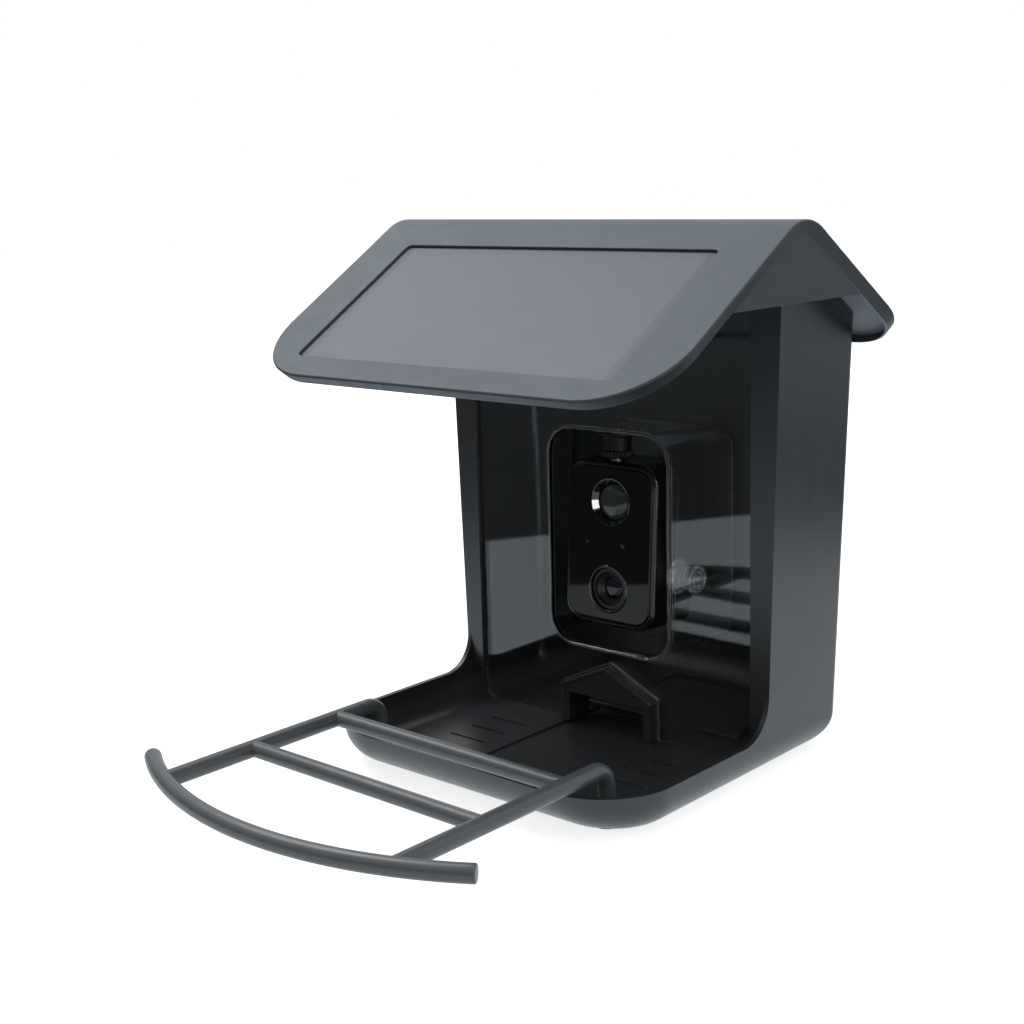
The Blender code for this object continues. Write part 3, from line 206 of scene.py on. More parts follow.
camera_width = 0.0570
camera_height = 0.0840
camera_front = 0.0046
camera_seam = 0.0130
camera_rear = 0.0300
camera_corner = 0.0110
camera_edge = 0.0030
camera_wall = 0.0018
camera_boss = 0.0030
face_width = 0.0520
face_height = 0.0780
face_corner = 0.0090
face_thickness = 0.0016
face_proud = 0.0004
pir_up = 0.0215
pir_ring_radius = 0.0124
pir_bush_radius = 0.0107
pir_bore = 0.0096
pir_bush_depth = 0.0050
pir_cone_depth = 0.0030
pir_dome_height = 0.0030
pir_dome_edge = 0.0008
lens_down = 0.0227
lens_ring_radius = 0.0124
lens_ring_bore = 0.0108
lens_ring_proud = 0.0006
barrel_radius = 0.0104
barrel_lip = 0.0010
barrel_step_radius = 0.0088
barrel_step_depth = 0.0014
barrel_cone_depth = 0.0026
barrel_length = 0.0120
lens_radius = 0.0056
lens_bulge = 0.0016
led_radius = 0.0013
led_x = 0.0085
led_up = 0.0005
sensor_radius = 0.0010
sensor_x = 0.0140
port_radius = 0.0007
port_x = 0.0146
port_down = 0.0095
button_radius = 0.0040
button_proud = 0.0012
button_down = 0.0340
usb_width = 0.0130
usb_height = 0.0070
usb_thickness = 0.0010
usb_up = 0.0370
camera_screw_side = 0.0210
camera_screw_up = 0.0340
overrun = 0.004

SIDE_VIEW = Matrix(((0, 0, 1, 0), (1, 0, 0, 0), (0, 1, 0, 0), (0, 0, 0, 1)))
FRONT_VIEW = Matrix.Rotation(radians(90), 4, "X")
BACKWARD = Matrix.Rotation(radians(-90), 4, "X")
ACROSS = Matrix.Rotation(radians(90), 4, "Y")
SIDES = (-1, 1)
tiny = 0.000004
on_axis = 1e-9
corner_room = 0.45
nearly_straight = radians(175)
least_lean = 0.5
normal_weight = 80


# Building blocks
def at(x, y, z):
    return Matrix.Translation((x, y, z))


def in_scene(name, data):
    made = bpy.data.objects.new(name, data)
    bpy.context.scene.collection.objects.link(made)
    return made


def from_bmesh(name, bm, paint=None):
    bmesh.ops.recalc_face_normals(bm, faces=bm.faces)
    mesh = bpy.data.meshes.new(name)
    bm.to_mesh(mesh)
    bm.free()
    if paint is not None:
        mesh.materials.append(paint)
    return in_scene(name, mesh)


def bake(obj):
    """Replaces an object's mesh with the one that its modifiers make."""
    bpy.context.view_layer.update()
    graph = bpy.context.evaluated_depsgraph_get()
    mesh = bpy.data.meshes.new_from_object(obj.evaluated_get(graph))
    obj.modifiers.clear()
    obj.data = mesh
    return obj


def arc(centre, radius, start, end, steps):
    made = []
    for i in range(steps + 1):
        angle = radians(start + (end - start) * i / steps)
        made.append((centre[0] + radius * cos(angle), centre[1] + radius * sin(angle)))
    return made


def quarter(steps):
    """The turns of a quarter round, in radians."""
    return [radians(90 * i / steps) for i in range(steps + 1)]


def rounded_outline(half, low, high, radius, high_radius=None, steps=10):
    """A rectangle from -half to half with rounded corners."""
    upper = radius if high_radius is None else high_radius
    corners = [(1, low + radius, radius), (1, high - upper, upper)]
    corners += [(-1, high - upper, upper), (-1, low + radius, radius)]
    made = []
    for i, (side, up, reach) in enumerate(corners):
        made += arc((side * (half - reach), up), reach, 90 * i - 90, 90 * i, steps)
    return made


def mirrored(points):
    """The points, and their mirror images back to the start."""
    return points + [(-across, up) for across, up in reversed(points)]


def rounded_corner(here, before, after, radius, reach, steps):
    start, end = here + before * reach, here + after * reach
    middle = here + (before + after).normalized() * (radius / sin(before.angle(after) / 2))
    first, last = start - middle, end - middle
    ways = [first.slerp(last, step / steps).normalized() * radius for step in range(steps + 1)]
    return [tuple(middle + way) for way in ways]


def rounded_polygon(corners, radii, steps=8):
    """An outline with each corner rounded by its own radius."""
    made = []
    for i, radius in enumerate(radii):
        here = Vector(corners[i])
        if radius <= 0:
            made.append(tuple(here))
            continue
        before = (Vector(corners[i - 1]) - here).normalized()
        after = (Vector(corners[(i + 1) % len(corners)]) - here).normalized()
        reach = radius / tan(before.angle(after) / 2)
        made += rounded_corner(here, before, after, radius, reach, steps)
    return made


def rounded_profile(points, radii, steps=4):
    """A turned profile with small rounds at its corners; the first and last points stay."""
    made = [points[0]]
    for i in range(1, len(points) - 1):
        radius = radii[i] if isinstance(radii, list) else radii
        here = Vector(points[i])
        before, after = Vector(points[i - 1]) - here, Vector(points[i + 1]) - here
        room = corner_room * min(before.length, after.length)
        before, after = before.normalized(), after.normalized()
        angle = before.angle(after)
        if radius <= 0 or angle > nearly_straight:
            made.append(points[i])
            continue
        reach = min(room, radius / tan(angle / 2))
        made += rounded_corner(here, before, after, reach * tan(angle / 2), reach, steps)
    return made + [points[-1]]


def inset_outline(outline, inset):
    """The outline moved inward by a small distance, each point along the mean of its edges' normals."""
    if inset == 0:
        return list(outline)
    area = sum(a[0] * b[1] - a[1] * b[0] for a, b in zip(outline, outline[1:] + outline[:1]))
    sign = 1 if area > 0 else -1
    made = []
    for i, here in enumerate(outline):
        before = Vector(here) - Vector(outline[i - 1])
        after = Vector(outline[(i + 1) % len(outline)]) - Vector(here)
        if before.length < on_axis:
            before = after
        if after.length < on_axis:
            after = before
        first = Vector((-before.y, before.x)).normalized() * sign
        second = Vector((-after.y, after.x)).normalized() * sign
        way = (first + second).normalized()
        reach = inset / max(least_lean, way.dot(first))
        made.append((here[0] + way.x * reach, here[1] + way.y * reach))
    return made


def loft(name, rings, paint=None):
    bm = bmesh.new()
    rows = [[bm.verts.new(point) for point in ring] for ring in rings]
    count = len(rows[0])
    for low, high in zip(rows, rows[1:]):
        for i in range(count):
            after = (i + 1) % count
            bm.faces.new((low[i], low[after], high[after], high[i]))
    bm.faces.new(rows[0])
    bm.faces.new(rows[-1])
    return from_bmesh(name, bm, paint)


def prism(name, outline, thickness, paint=None, view=Matrix.Identity(4), edge=0.0, steps=3):
    """A flat outline extruded by half its thickness each way, its rims rounded by an edge radius."""
    half = thickness / 2
    levels = [(0, -half)]
    if edge > 0:
        levels = [(edge * (1 - sin(turn)), -half + edge * (1 - cos(turn))) for turn in quarter(steps)]
    levels += [(inset, -rise) for inset, rise in reversed(levels)]
    rings = []
    for inset, rise in levels:
        rings.append([view @ Vector((*point, rise)) for point in inset_outline(outline, inset)])
    return loft(name, rings, paint)


def lathe(name, profile, paint=None, turn=Matrix.Identity(4), sides=96, ring=False):
    """A turned solid from (radius, height) points, which run down its outer side."""
    bm = bmesh.new()
    rows = []
    for radius, height in profile:
        angles = [2 * pi * i / sides for i in range(1 if radius < on_axis else sides)]
        places = [turn @ Vector((radius * cos(angle), radius * sin(angle), height)) for angle in angles]
        rows.append([bm.verts.new(place) for place in places])
    pairs = list(zip(rows, rows[1:]))
    if ring:
        pairs.append((rows[-1], rows[0]))
    for one, two in pairs:
        for i in range(sides):
            after = (i + 1) % sides
            corners = (one[i % len(one)], one[after % len(one)], two[after % len(two)], two[i % len(two)])
            corners = list(dict.fromkeys(corners))
            if len(corners) > 2:
                bm.faces.new(corners)
    return from_bmesh(name, bm, paint)


def sweep(name, points, radius, paint=None, sides=48, edge=0.0008):
    """A round bar along a row of points, with slightly rounded flat ends."""
    path = [Vector(point) for point in points]
    ways = []
    for i in range(len(path)):
        before = path[i] - path[i - 1] if i else path[1] - path[0]
        after = path[i + 1] - path[i] if i + 1 < len(path) else path[-1] - path[-2]
        ways.append((before.normalized() + after.normalized()).normalized())
    side = ways[0].orthogonal().normalized()
    end_round = [(edge * (1 - cos(turn)), edge * (1 - sin(turn))) for turn in quarter(4)]
    circle = [2 * pi * k / sides for k in range(sides)]
    rings = []
    for i, (place, way) in enumerate(zip(path, ways)):
        if i:
            side = (ways[i - 1].rotation_difference(way) @ side).normalized()
        other = way.cross(side)
        levels = [(0, 0)]
        if i == 0:
            levels = end_round
        elif i == len(path) - 1:
            levels = [(-run, draw) for run, draw in reversed(end_round)]
        for run, draw in levels:
            reach = radius - draw
            centre = place + way * run
            rings.append([centre + (side * cos(a) + other * sin(a)) * reach for a in circle])
    return loft(name, rings, paint)


def rod(name, radius, start, end, sides=64, end_radius=None):
    start, end = Vector(start), Vector(end)
    far = radius if end_radius is None else end_radius
    length = (end - start).length
    bm = bmesh.new()
    bmesh.ops.create_cone(bm, cap_ends=True, segments=sides, radius1=radius, radius2=far, depth=length)
    turn = Vector((0, 0, 1)).rotation_difference(end - start).to_matrix().to_4x4()
    bmesh.ops.transform(bm, matrix=Matrix.Translation((start + end) / 2) @ turn, verts=bm.verts)
    return from_bmesh(name, bm)


def box(name, low, high):
    bm = bmesh.new()
    bmesh.ops.create_cube(bm, size=1)
    bmesh.ops.scale(bm, vec=Vector(high) - Vector(low), verts=bm.verts)
    bmesh.ops.translate(bm, vec=(Vector(high) + Vector(low)) / 2, verts=bm.verts)
    return from_bmesh(name, bm)


def combine(target, operation, *tools):
    for tool in tools:
        modifier = target.modifiers.new(tool.name, "BOOLEAN")
        modifier.operation = operation
        modifier.object = tool
        modifier.solver = "EXACT"
    bake(target)
    for tool in tools:
        bpy.data.objects.remove(tool, do_unlink=True)


def cut(target, *tools):
    combine(target, "DIFFERENCE", *tools)


def join(target, *tools):
    combine(target, "UNION", *tools)


def opened(obj):
    bm = bmesh.new()
    bm.from_mesh(obj.data)
    return bm


def closed(obj, bm):
    bm.to_mesh(obj.data)
    bm.free()


def clean(bm):
    bmesh.ops.remove_doubles(bm, verts=bm.verts, dist=tiny)
    bmesh.ops.dissolve_degenerate(bm, edges=bm.edges, dist=tiny)


def weld(obj, flat=radians(0.3)):
    bm = opened(obj)
    clean(bm)
    bmesh.ops.dissolve_limit(bm, angle_limit=flat, verts=bm.verts, edges=bm.edges, delimit={"MATERIAL"})
    closed(obj, bm)


def soften(obj, width, angle, segments=3):
    """Rounds an object's sharp edges."""
    weld(obj)
    modifier = obj.modifiers.new("soften", "BEVEL")
    modifier.width = width
    modifier.segments = segments
    modifier.limit_method = "ANGLE"
    modifier.angle_limit = radians(angle)
    modifier.use_clamp_overlap = True
    modifier.miter_outer = "MITER_ARC"
    bake(obj)
    bm = opened(obj)
    clean(bm)
    bmesh.ops.recalc_face_normals(bm, faces=bm.faces)
    closed(obj, bm)


def finish_piece(obj, body, node, angle=32, weighted=True):
    """Smooth shading, the body that a piece rides on, and the solid that it replaces."""
    obj.data.shade_smooth()
    obj.data.set_sharp_from_angle(angle=radians(angle))
    if weighted:
        modifier = obj.modifiers.new("normals", "WEIGHTED_NORMAL")
        modifier.keep_sharp = True
        modifier.weight = normal_weight
        bake(obj)
    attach(obj, body)
    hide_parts(node)


# Materials
edge_reach = 0.0006
edge_turns = (0.6, 0.98)
# Painted shade on the roof's front lip and painted light on its rear underside
lip_painted_shade = 0.05
underside_painted_light = 2.2
bead_face = 0.0012
dot_rows = 170
border_edge = (solar_half_width - 0.0052, solar_half_width - 0.0047)
seam_edge = (0.0001, 0.0005)


def new_material(name):
    made = bpy.data.materials.new(name)
    made.use_nodes = True
    tree = made.node_tree
    return made, tree, tree.nodes["Principled BSDF"]


def feed(value, socket):
    """Gives a socket a constant, or the output of another node."""
    if isinstance(value, bpy.types.NodeSocket):
        socket.id_data.links.new(value, socket)
    elif value is not None:
        socket.default_value = value


def add(tree, kind, *values, **settings):
    """A node whose first sockets take the values."""
    node = tree.nodes.new(kind)
    for key, value in settings.items():
        setattr(node, key, value)
    for socket, value in zip(node.inputs, values):
        feed(value, socket)
    return node


def coordinates(tree, kind="Object"):
    return add(tree, "ShaderNodeTexCoord").outputs[kind]


def parts_of(tree, kind="Object"):
    """The coordinates one by one: X, Y and Z."""
    return add(tree, "ShaderNodeSeparateXYZ", coordinates(tree, kind)).outputs


def noise(tree, scale, detail=2):
    return add(tree, "ShaderNodeTexNoise", coordinates(tree), None, scale, detail).outputs["Fac"]


def ranged(tree, value, low, high, from_low=0.3, from_high=0.7):
    return add(tree, "ShaderNodeMapRange", value, from_low, from_high, low, high).outputs[0]


def calculated(tree, operation, *values):
    return add(tree, "ShaderNodeMath", *values, operation=operation).outputs[0]


def times(tree, *values):
    return calculated(tree, "MULTIPLY", *values)


def one_less(tree, value):
    return calculated(tree, "SUBTRACT", 1, value)


def mixed(tree, factor, first, second):
    made = add(tree, "ShaderNodeMix", factor, data_type="RGBA")
    for socket, value in ((made.inputs[6], first), (made.inputs[7], second)):
        feed((*value, 1) if isinstance(value, tuple) else value, socket)
    return made.outputs[2]


def bump(tree, shader, height, depth):
    made = add(tree, "ShaderNodeBump")
    made.inputs["Distance"].default_value = depth
    feed(height, made.inputs["Height"])
    feed(made.outputs["Normal"], shader.inputs["Normal"])


def dot(tree, first, second):
    return add(tree, "ShaderNodeVectorMath", first, second, operation="DOT_PRODUCT").outputs["Value"]


def edges(tree):
    """Near one where the surface turns sharply, found with the bevel normal."""
    bevel = add(tree, "ShaderNodeBevel", edge_reach, samples=4)
    plain = add(tree, "ShaderNodeNewGeometry").outputs["Normal"]
    return ranged(tree, dot(tree, bevel.outputs["Normal"], plain), 1, 0, *edge_turns)


def shaded(colour, share):
    return tuple(min(1.0, channel * share) for channel in colour)


def drifting(tree, scale, colour, darker, lighter):
    """The colour with a slow drift of its tone."""
    slow = ranged(tree, noise(tree, scale, 3), 0, 1)
    return mixed(tree, slow, shaded(colour, darker), shaded(colour, lighter))


def painted_shade_by_direction(tree, tone, colour, sides):
    """Painted shade and light: upright faces darker, the front lip darker still, and the rear's underside
    paler as if lit from below.
    """
    lean = parts_of(tree, "Normal")["Z"]
    along = parts_of(tree)["Y"]
    not_below = ranged(tree, lean, 0, 1, -0.8, -0.65)
    not_above = ranged(tree, lean, 1, 0, 0.55, 0.8)
    upright = times(tree, not_below, not_above)
    tone = mixed(tree, upright, tone, shaded(colour, sides))
    leans_down = ranged(tree, lean, 1, 0, -0.45, -0.2)
    in_front = ranged(tree, along, 1, 0, -0.06, -0.02)
    # Painted shade on the front lip, and painted light on the rear underside below
    lip = times(tree, times(tree, upright, leans_down), in_front)
    tone = mixed(tree, lip, tone, shaded(colour, sides * lip_painted_shade))
    lit_faces_down = ranged(tree, lean, 1, 0, -0.6, -0.4)
    behind = ranged(tree, along, 0, 1, 0, 0.03)
    return mixed(tree, times(tree, lit_faces_down, behind), tone, shaded(colour, underside_painted_light))


def moulded(name, colour, roughness, grain=1400, depth=0.00003, spread=0.05, specular=0.5, edge_paling=0, sides=1):
    """Moulded plastic: fine spark grain, slow drifts of sheen and tone; sides is the tone of painted shade
    on upright faces.
    """
    made, tree, shader = new_material(name)
    tone = drifting(tree, 14, colour, 0.94, 1.06)
    # Painted shade and light by the direction a face points
    if sides != 1:
        tone = painted_shade_by_direction(tree, tone, colour, sides)
    # Sharp edges paler, broken up by noise
    if edge_paling:
        paled_edges = times(tree, edges(tree), ranged(tree, noise(tree, 220, 3), 0.2, 1))
        tone = mixed(tree, paled_edges, tone, shaded(colour, 1 + edge_paling))
    feed(tone, shader.inputs["Base Color"])
    sheen = ranged(tree, noise(tree, 90, 4), roughness - spread, roughness + spread)
    feed(sheen, shader.inputs["Roughness"])
    shader.inputs["Specular IOR Level"].default_value = specular
    bump(tree, shader, noise(tree, grain), depth)
    return made


def clear(name, tint, roughness, ior, edge_highlight=0.0, bead_highlight=0.0):
    """Clear moulding with painted highlights: its edges, and the rim standing proud of the pane, are less
    clear and paler.
    """
    made, tree, shader = new_material(name)
    shader.inputs["Base Color"].default_value = (*tint, 1)
    # Painted highlight: sharp edges lose clearness and show the pale tint
    rim = ranged(tree, edges(tree), edge_highlight, edge_highlight + 0.5, 0, 1)
    # Painted highlight on the rim that stands proud of the pane
    if bead_highlight:
        proud = ranged(tree, parts_of(tree)["Y"], bead_highlight, 0, bead_face, flange_thickness)
        rim = calculated(tree, "MAXIMUM", rim, proud)
    feed(one_less(tree, rim), shader.inputs["Transmission Weight"])
    shader.inputs["IOR"].default_value = ior
    sheen = ranged(tree, noise(tree, 40, 3), roughness * 0.5, roughness * 1.5)
    feed(sheen, shader.inputs["Roughness"])
    bump(tree, shader, noise(tree, 18), 0.000015)
    see = add(tree, "ShaderNodeBsdfTransparent", (*shaded(tint, 0.97), 1))
    shadow = add(tree, "ShaderNodeLightPath").outputs["Is Shadow Ray"]
    pick = add(tree, "ShaderNodeMixShader", shadow, shader.outputs["BSDF"], see.outputs["BSDF"])
    feed(pick.outputs["Shader"], tree.nodes["Material Output"].inputs["Surface"])
    return made


def metal(name, colour, roughness):
    made, tree, shader = new_material(name)
    shader.inputs["Metallic"].default_value = 1.0
    feed(drifting(tree, 60, colour, 0.9, 1.08), shader.inputs["Base Color"])
    brushed = ranged(tree, noise(tree, 900), roughness - 0.06, roughness + 0.08)
    feed(brushed, shader.inputs["Roughness"])
    bump(tree, shader, noise(tree, 1600), 0.00001)
    return made


def panel(name, colour, roughness):
    """The panel's face: fine dots in slanting rows, with a faint seam across its middle."""
    made, tree, shader = new_material(name)
    mapping = add(tree, "ShaderNodeMapping", coordinates(tree))
    mapping.inputs["Rotation"].default_value = (-front_pitch, 0, radians(45))
    rows = []
    for direction in ("X", "Y"):
        wave = add(tree, "ShaderNodeTexWave", mapping.outputs["Vector"], dot_rows, bands_direction=direction)
        rows.append(wave.outputs["Fac"])
    dots = times(tree, *rows)
    parts = parts_of(tree)
    toward_right = ranged(tree, parts["X"], 0.25, 1, -0.02, solar_half_width)
    grain = times(tree, ranged(tree, dots, 0, 1, 0.3, 0.8), toward_right)
    side = calculated(tree, "ABSOLUTE", parts["X"])
    border = ranged(tree, side, 0, 1, *border_edge)
    grain = times(tree, grain, one_less(tree, border))
    middle = peak_y - cos(front_pitch) * (solar_high + solar_length / 2)
    from_middle = calculated(tree, "ABSOLUTE", calculated(tree, "SUBTRACT", parts["Y"], middle))
    seam = ranged(tree, from_middle, 1, 0, *seam_edge)
    tone = drifting(tree, 9, colour, 0.97, 1.03)
    tone = mixed(tree, grain, tone, shaded(colour, 1.18))
    tone = mixed(tree, border, tone, shaded(colour, 0.80))
    tone = mixed(tree, times(tree, seam, 0.5), tone, shaded(colour, 0.8))
    feed(tone, shader.inputs["Base Color"])
    sheen = ranged(tree, noise(tree, 60, 4), roughness - 0.015, roughness + 0.015)
    feed(sheen, shader.inputs["Roughness"])
    shader.inputs["Specular IOR Level"].default_value = 0.35
    bump(tree, shader, dots, 0.000004)
    return made


# The roof carries painted shade on its upright faces and lip, and painted light under its rear
roof_plastic = moulded("roof_plastic_grey", (0.168, 0.200, 0.230), 0.46, specular=0.15, edge_paling=0.2, sides=0.58)
housing_plastic = moulded(
    "housing_plastic_dark", (0.027, 0.031, 0.036), 0.32, depth=0.000012, spread=0.03, specular=0.75, edge_paling=0.2
)
post_plastic = moulded("post_black", (0.005, 0.005, 0.006), 0.5, specular=0.2, edge_paling=0.2)
perch_plastic = moulded("perch_plastic_slate", (0.112, 0.126, 0.134), 0.32, specular=0.7, edge_paling=0.25)
casing_plastic = moulded("casing_black", (0.010, 0.010, 0.011), 0.36, edge_paling=0.3)
rubber = moulded("black_rubber", (0.016, 0.016, 0.017), 0.7, grain=2200, depth=0.00004)
gloss = moulded("gloss_black", (0.007, 0.007, 0.009), 0.03, 160, 0.000002, 0.01, specular=0.3)
casing_satin = moulded("casing_satin_black", (0.009, 0.009, 0.010), 0.20, 700, 0.000006, 0.04, edge_paling=0.2)
ring_gloss = moulded("gloss_ring", (0.012, 0.012, 0.014), 0.10, 160, 0.000002, 0.02, specular=0.8)
# Painted highlights on the pane's edges and pocket rim, and on the plug's edges
clear_plastic = clear("clear_panel_plastic", (0.93, 0.95, 0.96), 0.010, 1.49, bead_highlight=0.12)
clear_silicone = clear("clear_plug_silicone", (0.90, 0.92, 0.92), 0.03, 1.41, edge_highlight=0.10)
panel_face = panel("solar_panel_face", (0.136, 0.163, 0.216), 0.40)
cells = moulded("solar_cells_dark", (0.05, 0.06, 0.08), 0.35)
lens_glass = moulded("lens_glass_blue", (0.010, 0.013, 0.028), 0.04, 100, 0.000002, 0.01)
dome_plastic = moulded("pir_dome_milky", (0.050, 0.066, 0.062), 0.10, 300, 0.000004, 0.03)
lamp_plastic = moulded("lamp_lens", (0.050, 0.038, 0.055), 0.20)
board = moulded("board_green", (0.012, 0.07, 0.03), 0.45)
sleeve = moulded("cell_sleeve", (0.03, 0.10, 0.22), 0.35)
steel = metal("screw_steel", (0.58, 0.58, 0.59), 0.28)
dark_steel = metal("ball_steel_dark", (0.10, 0.10, 0.11), 0.34)
brass = metal("insert_brass", (0.66, 0.50, 0.24), 0.30)


# Housing
edge_round = 0.0005
ring_steps = 16
fillet_steps = 14
sweep_steps = 24
drain_rows = 3
keep_width = 0.3
moulding_angle = 42


def half_width_at(height):
    return base_half_width + side_draft_share * height


def rear_at(height):
    return base_rear + rear_draft_share * height


def front_at(height):
    return -(tray_depth + front_draft_share * height)


def fillet_inset(radius, height):
    if height >= radius:
        return 0
    return radius - sqrt(radius**2 - (radius - height) ** 2)


def housing_block(name, inset, bottom, side_round, front_round, shrink, top, paint=None):
    """The housing's form, moved inward by an inset, with fillets at its foot."""
    heights = [bottom + front_round * (1 - cos(turn)) for turn in quarter(fillet_steps)]
    rings = []
    for height in heights + [top]:
        side_fall = fillet_inset(side_round, height - bottom)
        front_fall = fillet_inset(front_round, height - bottom)
        side = half_width_at(height) - inset - side_fall
        front = front_at(height) + inset + front_fall
        rear = rear_at(height) - max(inset, shrink) - side_fall
        near = max(front_corner_radius - inset - front_fall, rear_corner_radius)
        far = max(rear_corner_radius - inset, side_wall)
        outline = rounded_outline(side, front, rear, near, far, ring_steps)
        rings.append([(across, along, height) for across, along in outline])
    return loft(name, rings, paint)


def rear_plane(y):
    return peak_height - (y - peak_y) * tan(rear_pitch)


rear_matrix = at(0, base_rear, 0) @ Matrix.Rotation(-atan(rear_draft_share), 4, "X")


def rear_slab(name, half_width, low, high, radius, inner, outer, paint=None):
    outline = rounded_outline(half_width, low, high, radius)
    view = rear_matrix @ at(0, (inner + outer) / 2, 0) @ FRONT_VIEW
    return prism(name, outline, outer - inner, paint, view)


def screw_places():
    across = plate_half_width - ledge_width / 2
    middle = (plate_low + plate_high) / 2
    low = plate_low + ledge_width / 2
    high = plate_high - ledge_width / 2
    return [(side * across, up) for up in (low, middle, high) for side in SIDES]


def span(name, side, near, far, low, high):
    """A box between two distances from the middle, on one side."""
    near, far = sorted((side * near, side * far))
    return box(name, (near, *low), (far, *high))


def make_housing():
    body = housing_block("housing_shell", 0, 0, side_fillet, front_fillet, 0, peak_height, housing_plastic)
    under_roof = roof_sheet / cos(rear_pitch) + gap
    ahead = -(tray_depth + front_draft_share * rim_height + overrun)
    behind = rear_at(peak_height) + overrun
    keep = [(ahead, -overrun), (behind, -overrun), (behind, rear_plane(behind) - under_roof)]
    keep += [(0, rear_plane(0) - under_roof)]
    keep += arc((-sweep_radius, rim_height + sweep_radius), sweep_radius, 0, -90, sweep_steps)
    keep += [(ahead, rim_height)]
    combine(body, "INTERSECT", prism("keep", keep, keep_width, view=SIDE_VIEW))
    rounds = (side_fillet - side_wall, front_fillet - side_wall)
    cavity = housing_block("cavity", side_wall, floor_thickness, *rounds, rear_frame, peak_height + overrun)
    wide = roof_half_width
    top = peak_height + 2 * overrun
    rail_y = flange_thickness + 2 * gap + pane_thickness
    ledges = []
    flange = (0, rim_height), (flange_thickness, top)
    rail = (rail_y, rail_foot), (rail_y + rail_depth, top)
    for side in SIDES:
        ledges.append(span("flange", side, window_half_width, wide, *flange))
        ledges.append(span("rail", side, window_half_width - gap, wide, *rail))
    cut(cavity, *ledges)
    low = (-channel_half_width, front_at(floor_thickness) + front_fillet, floor_thickness - channel_depth)
    join(cavity, box("channel", low, (channel_half_width, chute_ramp_front, floor_thickness + overrun)))
    cut(body, cavity)
    tools = []
    reach = (drain_length - drain_width) / 2
    slot = arc((reach, 0), drain_width / 2, -90, 90, 8) + arc((-reach, 0), drain_width / 2, 90, 270, 8)
    for side in SIDES:
        for i in range(drain_rows):
            spot = at(side * drain_set_in, -(drain_row_y + i * drain_pitch), 0)
            tools.append(prism("drain", slot, 2 * (floor_thickness + overrun), view=spot))
    deep = -(plate_thickness + gap)
    corner = plate_corner_radius
    seat = (plate_half_width + gap, plate_low - gap, plate_high + gap, corner + gap, deep, overrun)
    tools.append(rear_slab("seat", *seat))
    way = (plate_half_width - ledge_width - gap, plate_low + ledge_width + gap)
    way += (plate_high - ledge_width - gap, corner, -(rear_frame + overrun), overrun)
    tools.append(rear_slab("way", *way))
    cut(body, *tools)
    for side in SIDES:
        centre = (side * perch_half_width, -perch_leg_y)
        foot, top = (*centre, floor_thickness - channel_depth), (*centre, floor_thickness + socket_height)
        join(body, rod("socket", socket_radius, foot, top, end_radius=socket_radius - side_wall / 2))
        ends = (*centre, floor_thickness), (*centre, rim_height + overrun)
        cut(body, rod("socket_way", perch_radius + gap, *ends))
    soften(body, edge_round, moulding_angle)
    finish_piece(body, "hopper", "housing")


make_housing()

# Rear plate with its boss, insert and screws
plate_round = 0.0004
boss_taper = 0.0024
boss_rounds = [0, 0, 0.0002, 0.0005, 0.0014, 0]
screw_rounds = [0, 0.0007, 0.00015, 0, 0.0002, 0]
pin_sides = 40
pin_round = 0.0004
insert_ridges = 9
insert_ridge = 0.0003
insert_start = 0.0004
cross_share = 0.62
cross_half_width = 0.00032
cross_depth = 0.0008


def knuckle(low, high):
    ends = (low, hinge_y, hinge_height), (high, hinge_y, hinge_height)
    return rod("knuckle", hinge_radius, *ends, pin_sides)


def make_rear_plate():
    size = (plate_half_width, plate_low, plate_high, plate_corner_radius)
    body = rear_slab("rear_cover", *size, -plate_thickness, 0, housing_plastic)
    inner = insert_radius + gap
    seat = boss_height - insert_depth - gap
    profile = [(0, -plate_thickness / 2), (0, seat), (inner, seat), (inner, boss_height)]
    profile += [(boss_radius - boss_taper, boss_height), (boss_radius, -plate_thickness / 2)]
    profile = rounded_profile(profile, boss_rounds)
    root = rear_at(hinge_height)
    arm_low = plate_high - hinge_arm - plate_corner_radius
    arm = [
        (root - plate_thickness, arm_low),
        (root, arm_low - hinge_arm),
        (hinge_y, hinge_height - hinge_pin_radius),
        (hinge_y, hinge_height + hinge_pin_radius),
        (root, hinge_height - hinge_radius),
        (root - plate_thickness, plate_high - hinge_arm),
    ]
    for side in SIDES:
        place = side * hinge_side
        ear = prism("arm", arm, hinge_middle * hinge_arm_share, view=at(place, 0, 0) @ SIDE_VIEW)
        join(body, ear, knuckle(place - hinge_middle / 2, place + hinge_middle / 2))
    tools = []
    for across, up in screw_places():
        sink = rear_matrix @ Vector((across, -(screw_head_height + gap), up))
        tools.append(rod("sink", screw_head + gap, sink, rear_matrix @ Vector((across, overrun, up)), 48))
    cut(body, *tools)
    join(body, lathe("boss", profile, turn=rear_matrix @ at(0, 0, boss_up) @ BACKWARD))
    soften(body, plate_round, moulding_angle)
    finish_piece(body, "hopper", "rear_plate")


def make_screw(name, node, turn, body):
    """A pan head with a cross recess."""
    profile = [(0, 0), (screw_head, 0), (screw_head, -screw_head_height), (screw_shank, -screw_head_height)]
    profile += [(screw_shank, -screw_length), (0, -screw_length)]
    profile = rounded_profile(profile, screw_rounds, 6)
    made = lathe(name, profile, steel, turn, 48)
    arm = screw_head * cross_share
    slots = []
    for long, wide in ((arm, cross_half_width), (cross_half_width, arm)):
        slots.append(box("cross", (-long, -wide, -cross_depth), (long, wide, overrun)))
        slots[-1].data.transform(turn)
    cut(made, *slots)
    finish_piece(made, body, node)


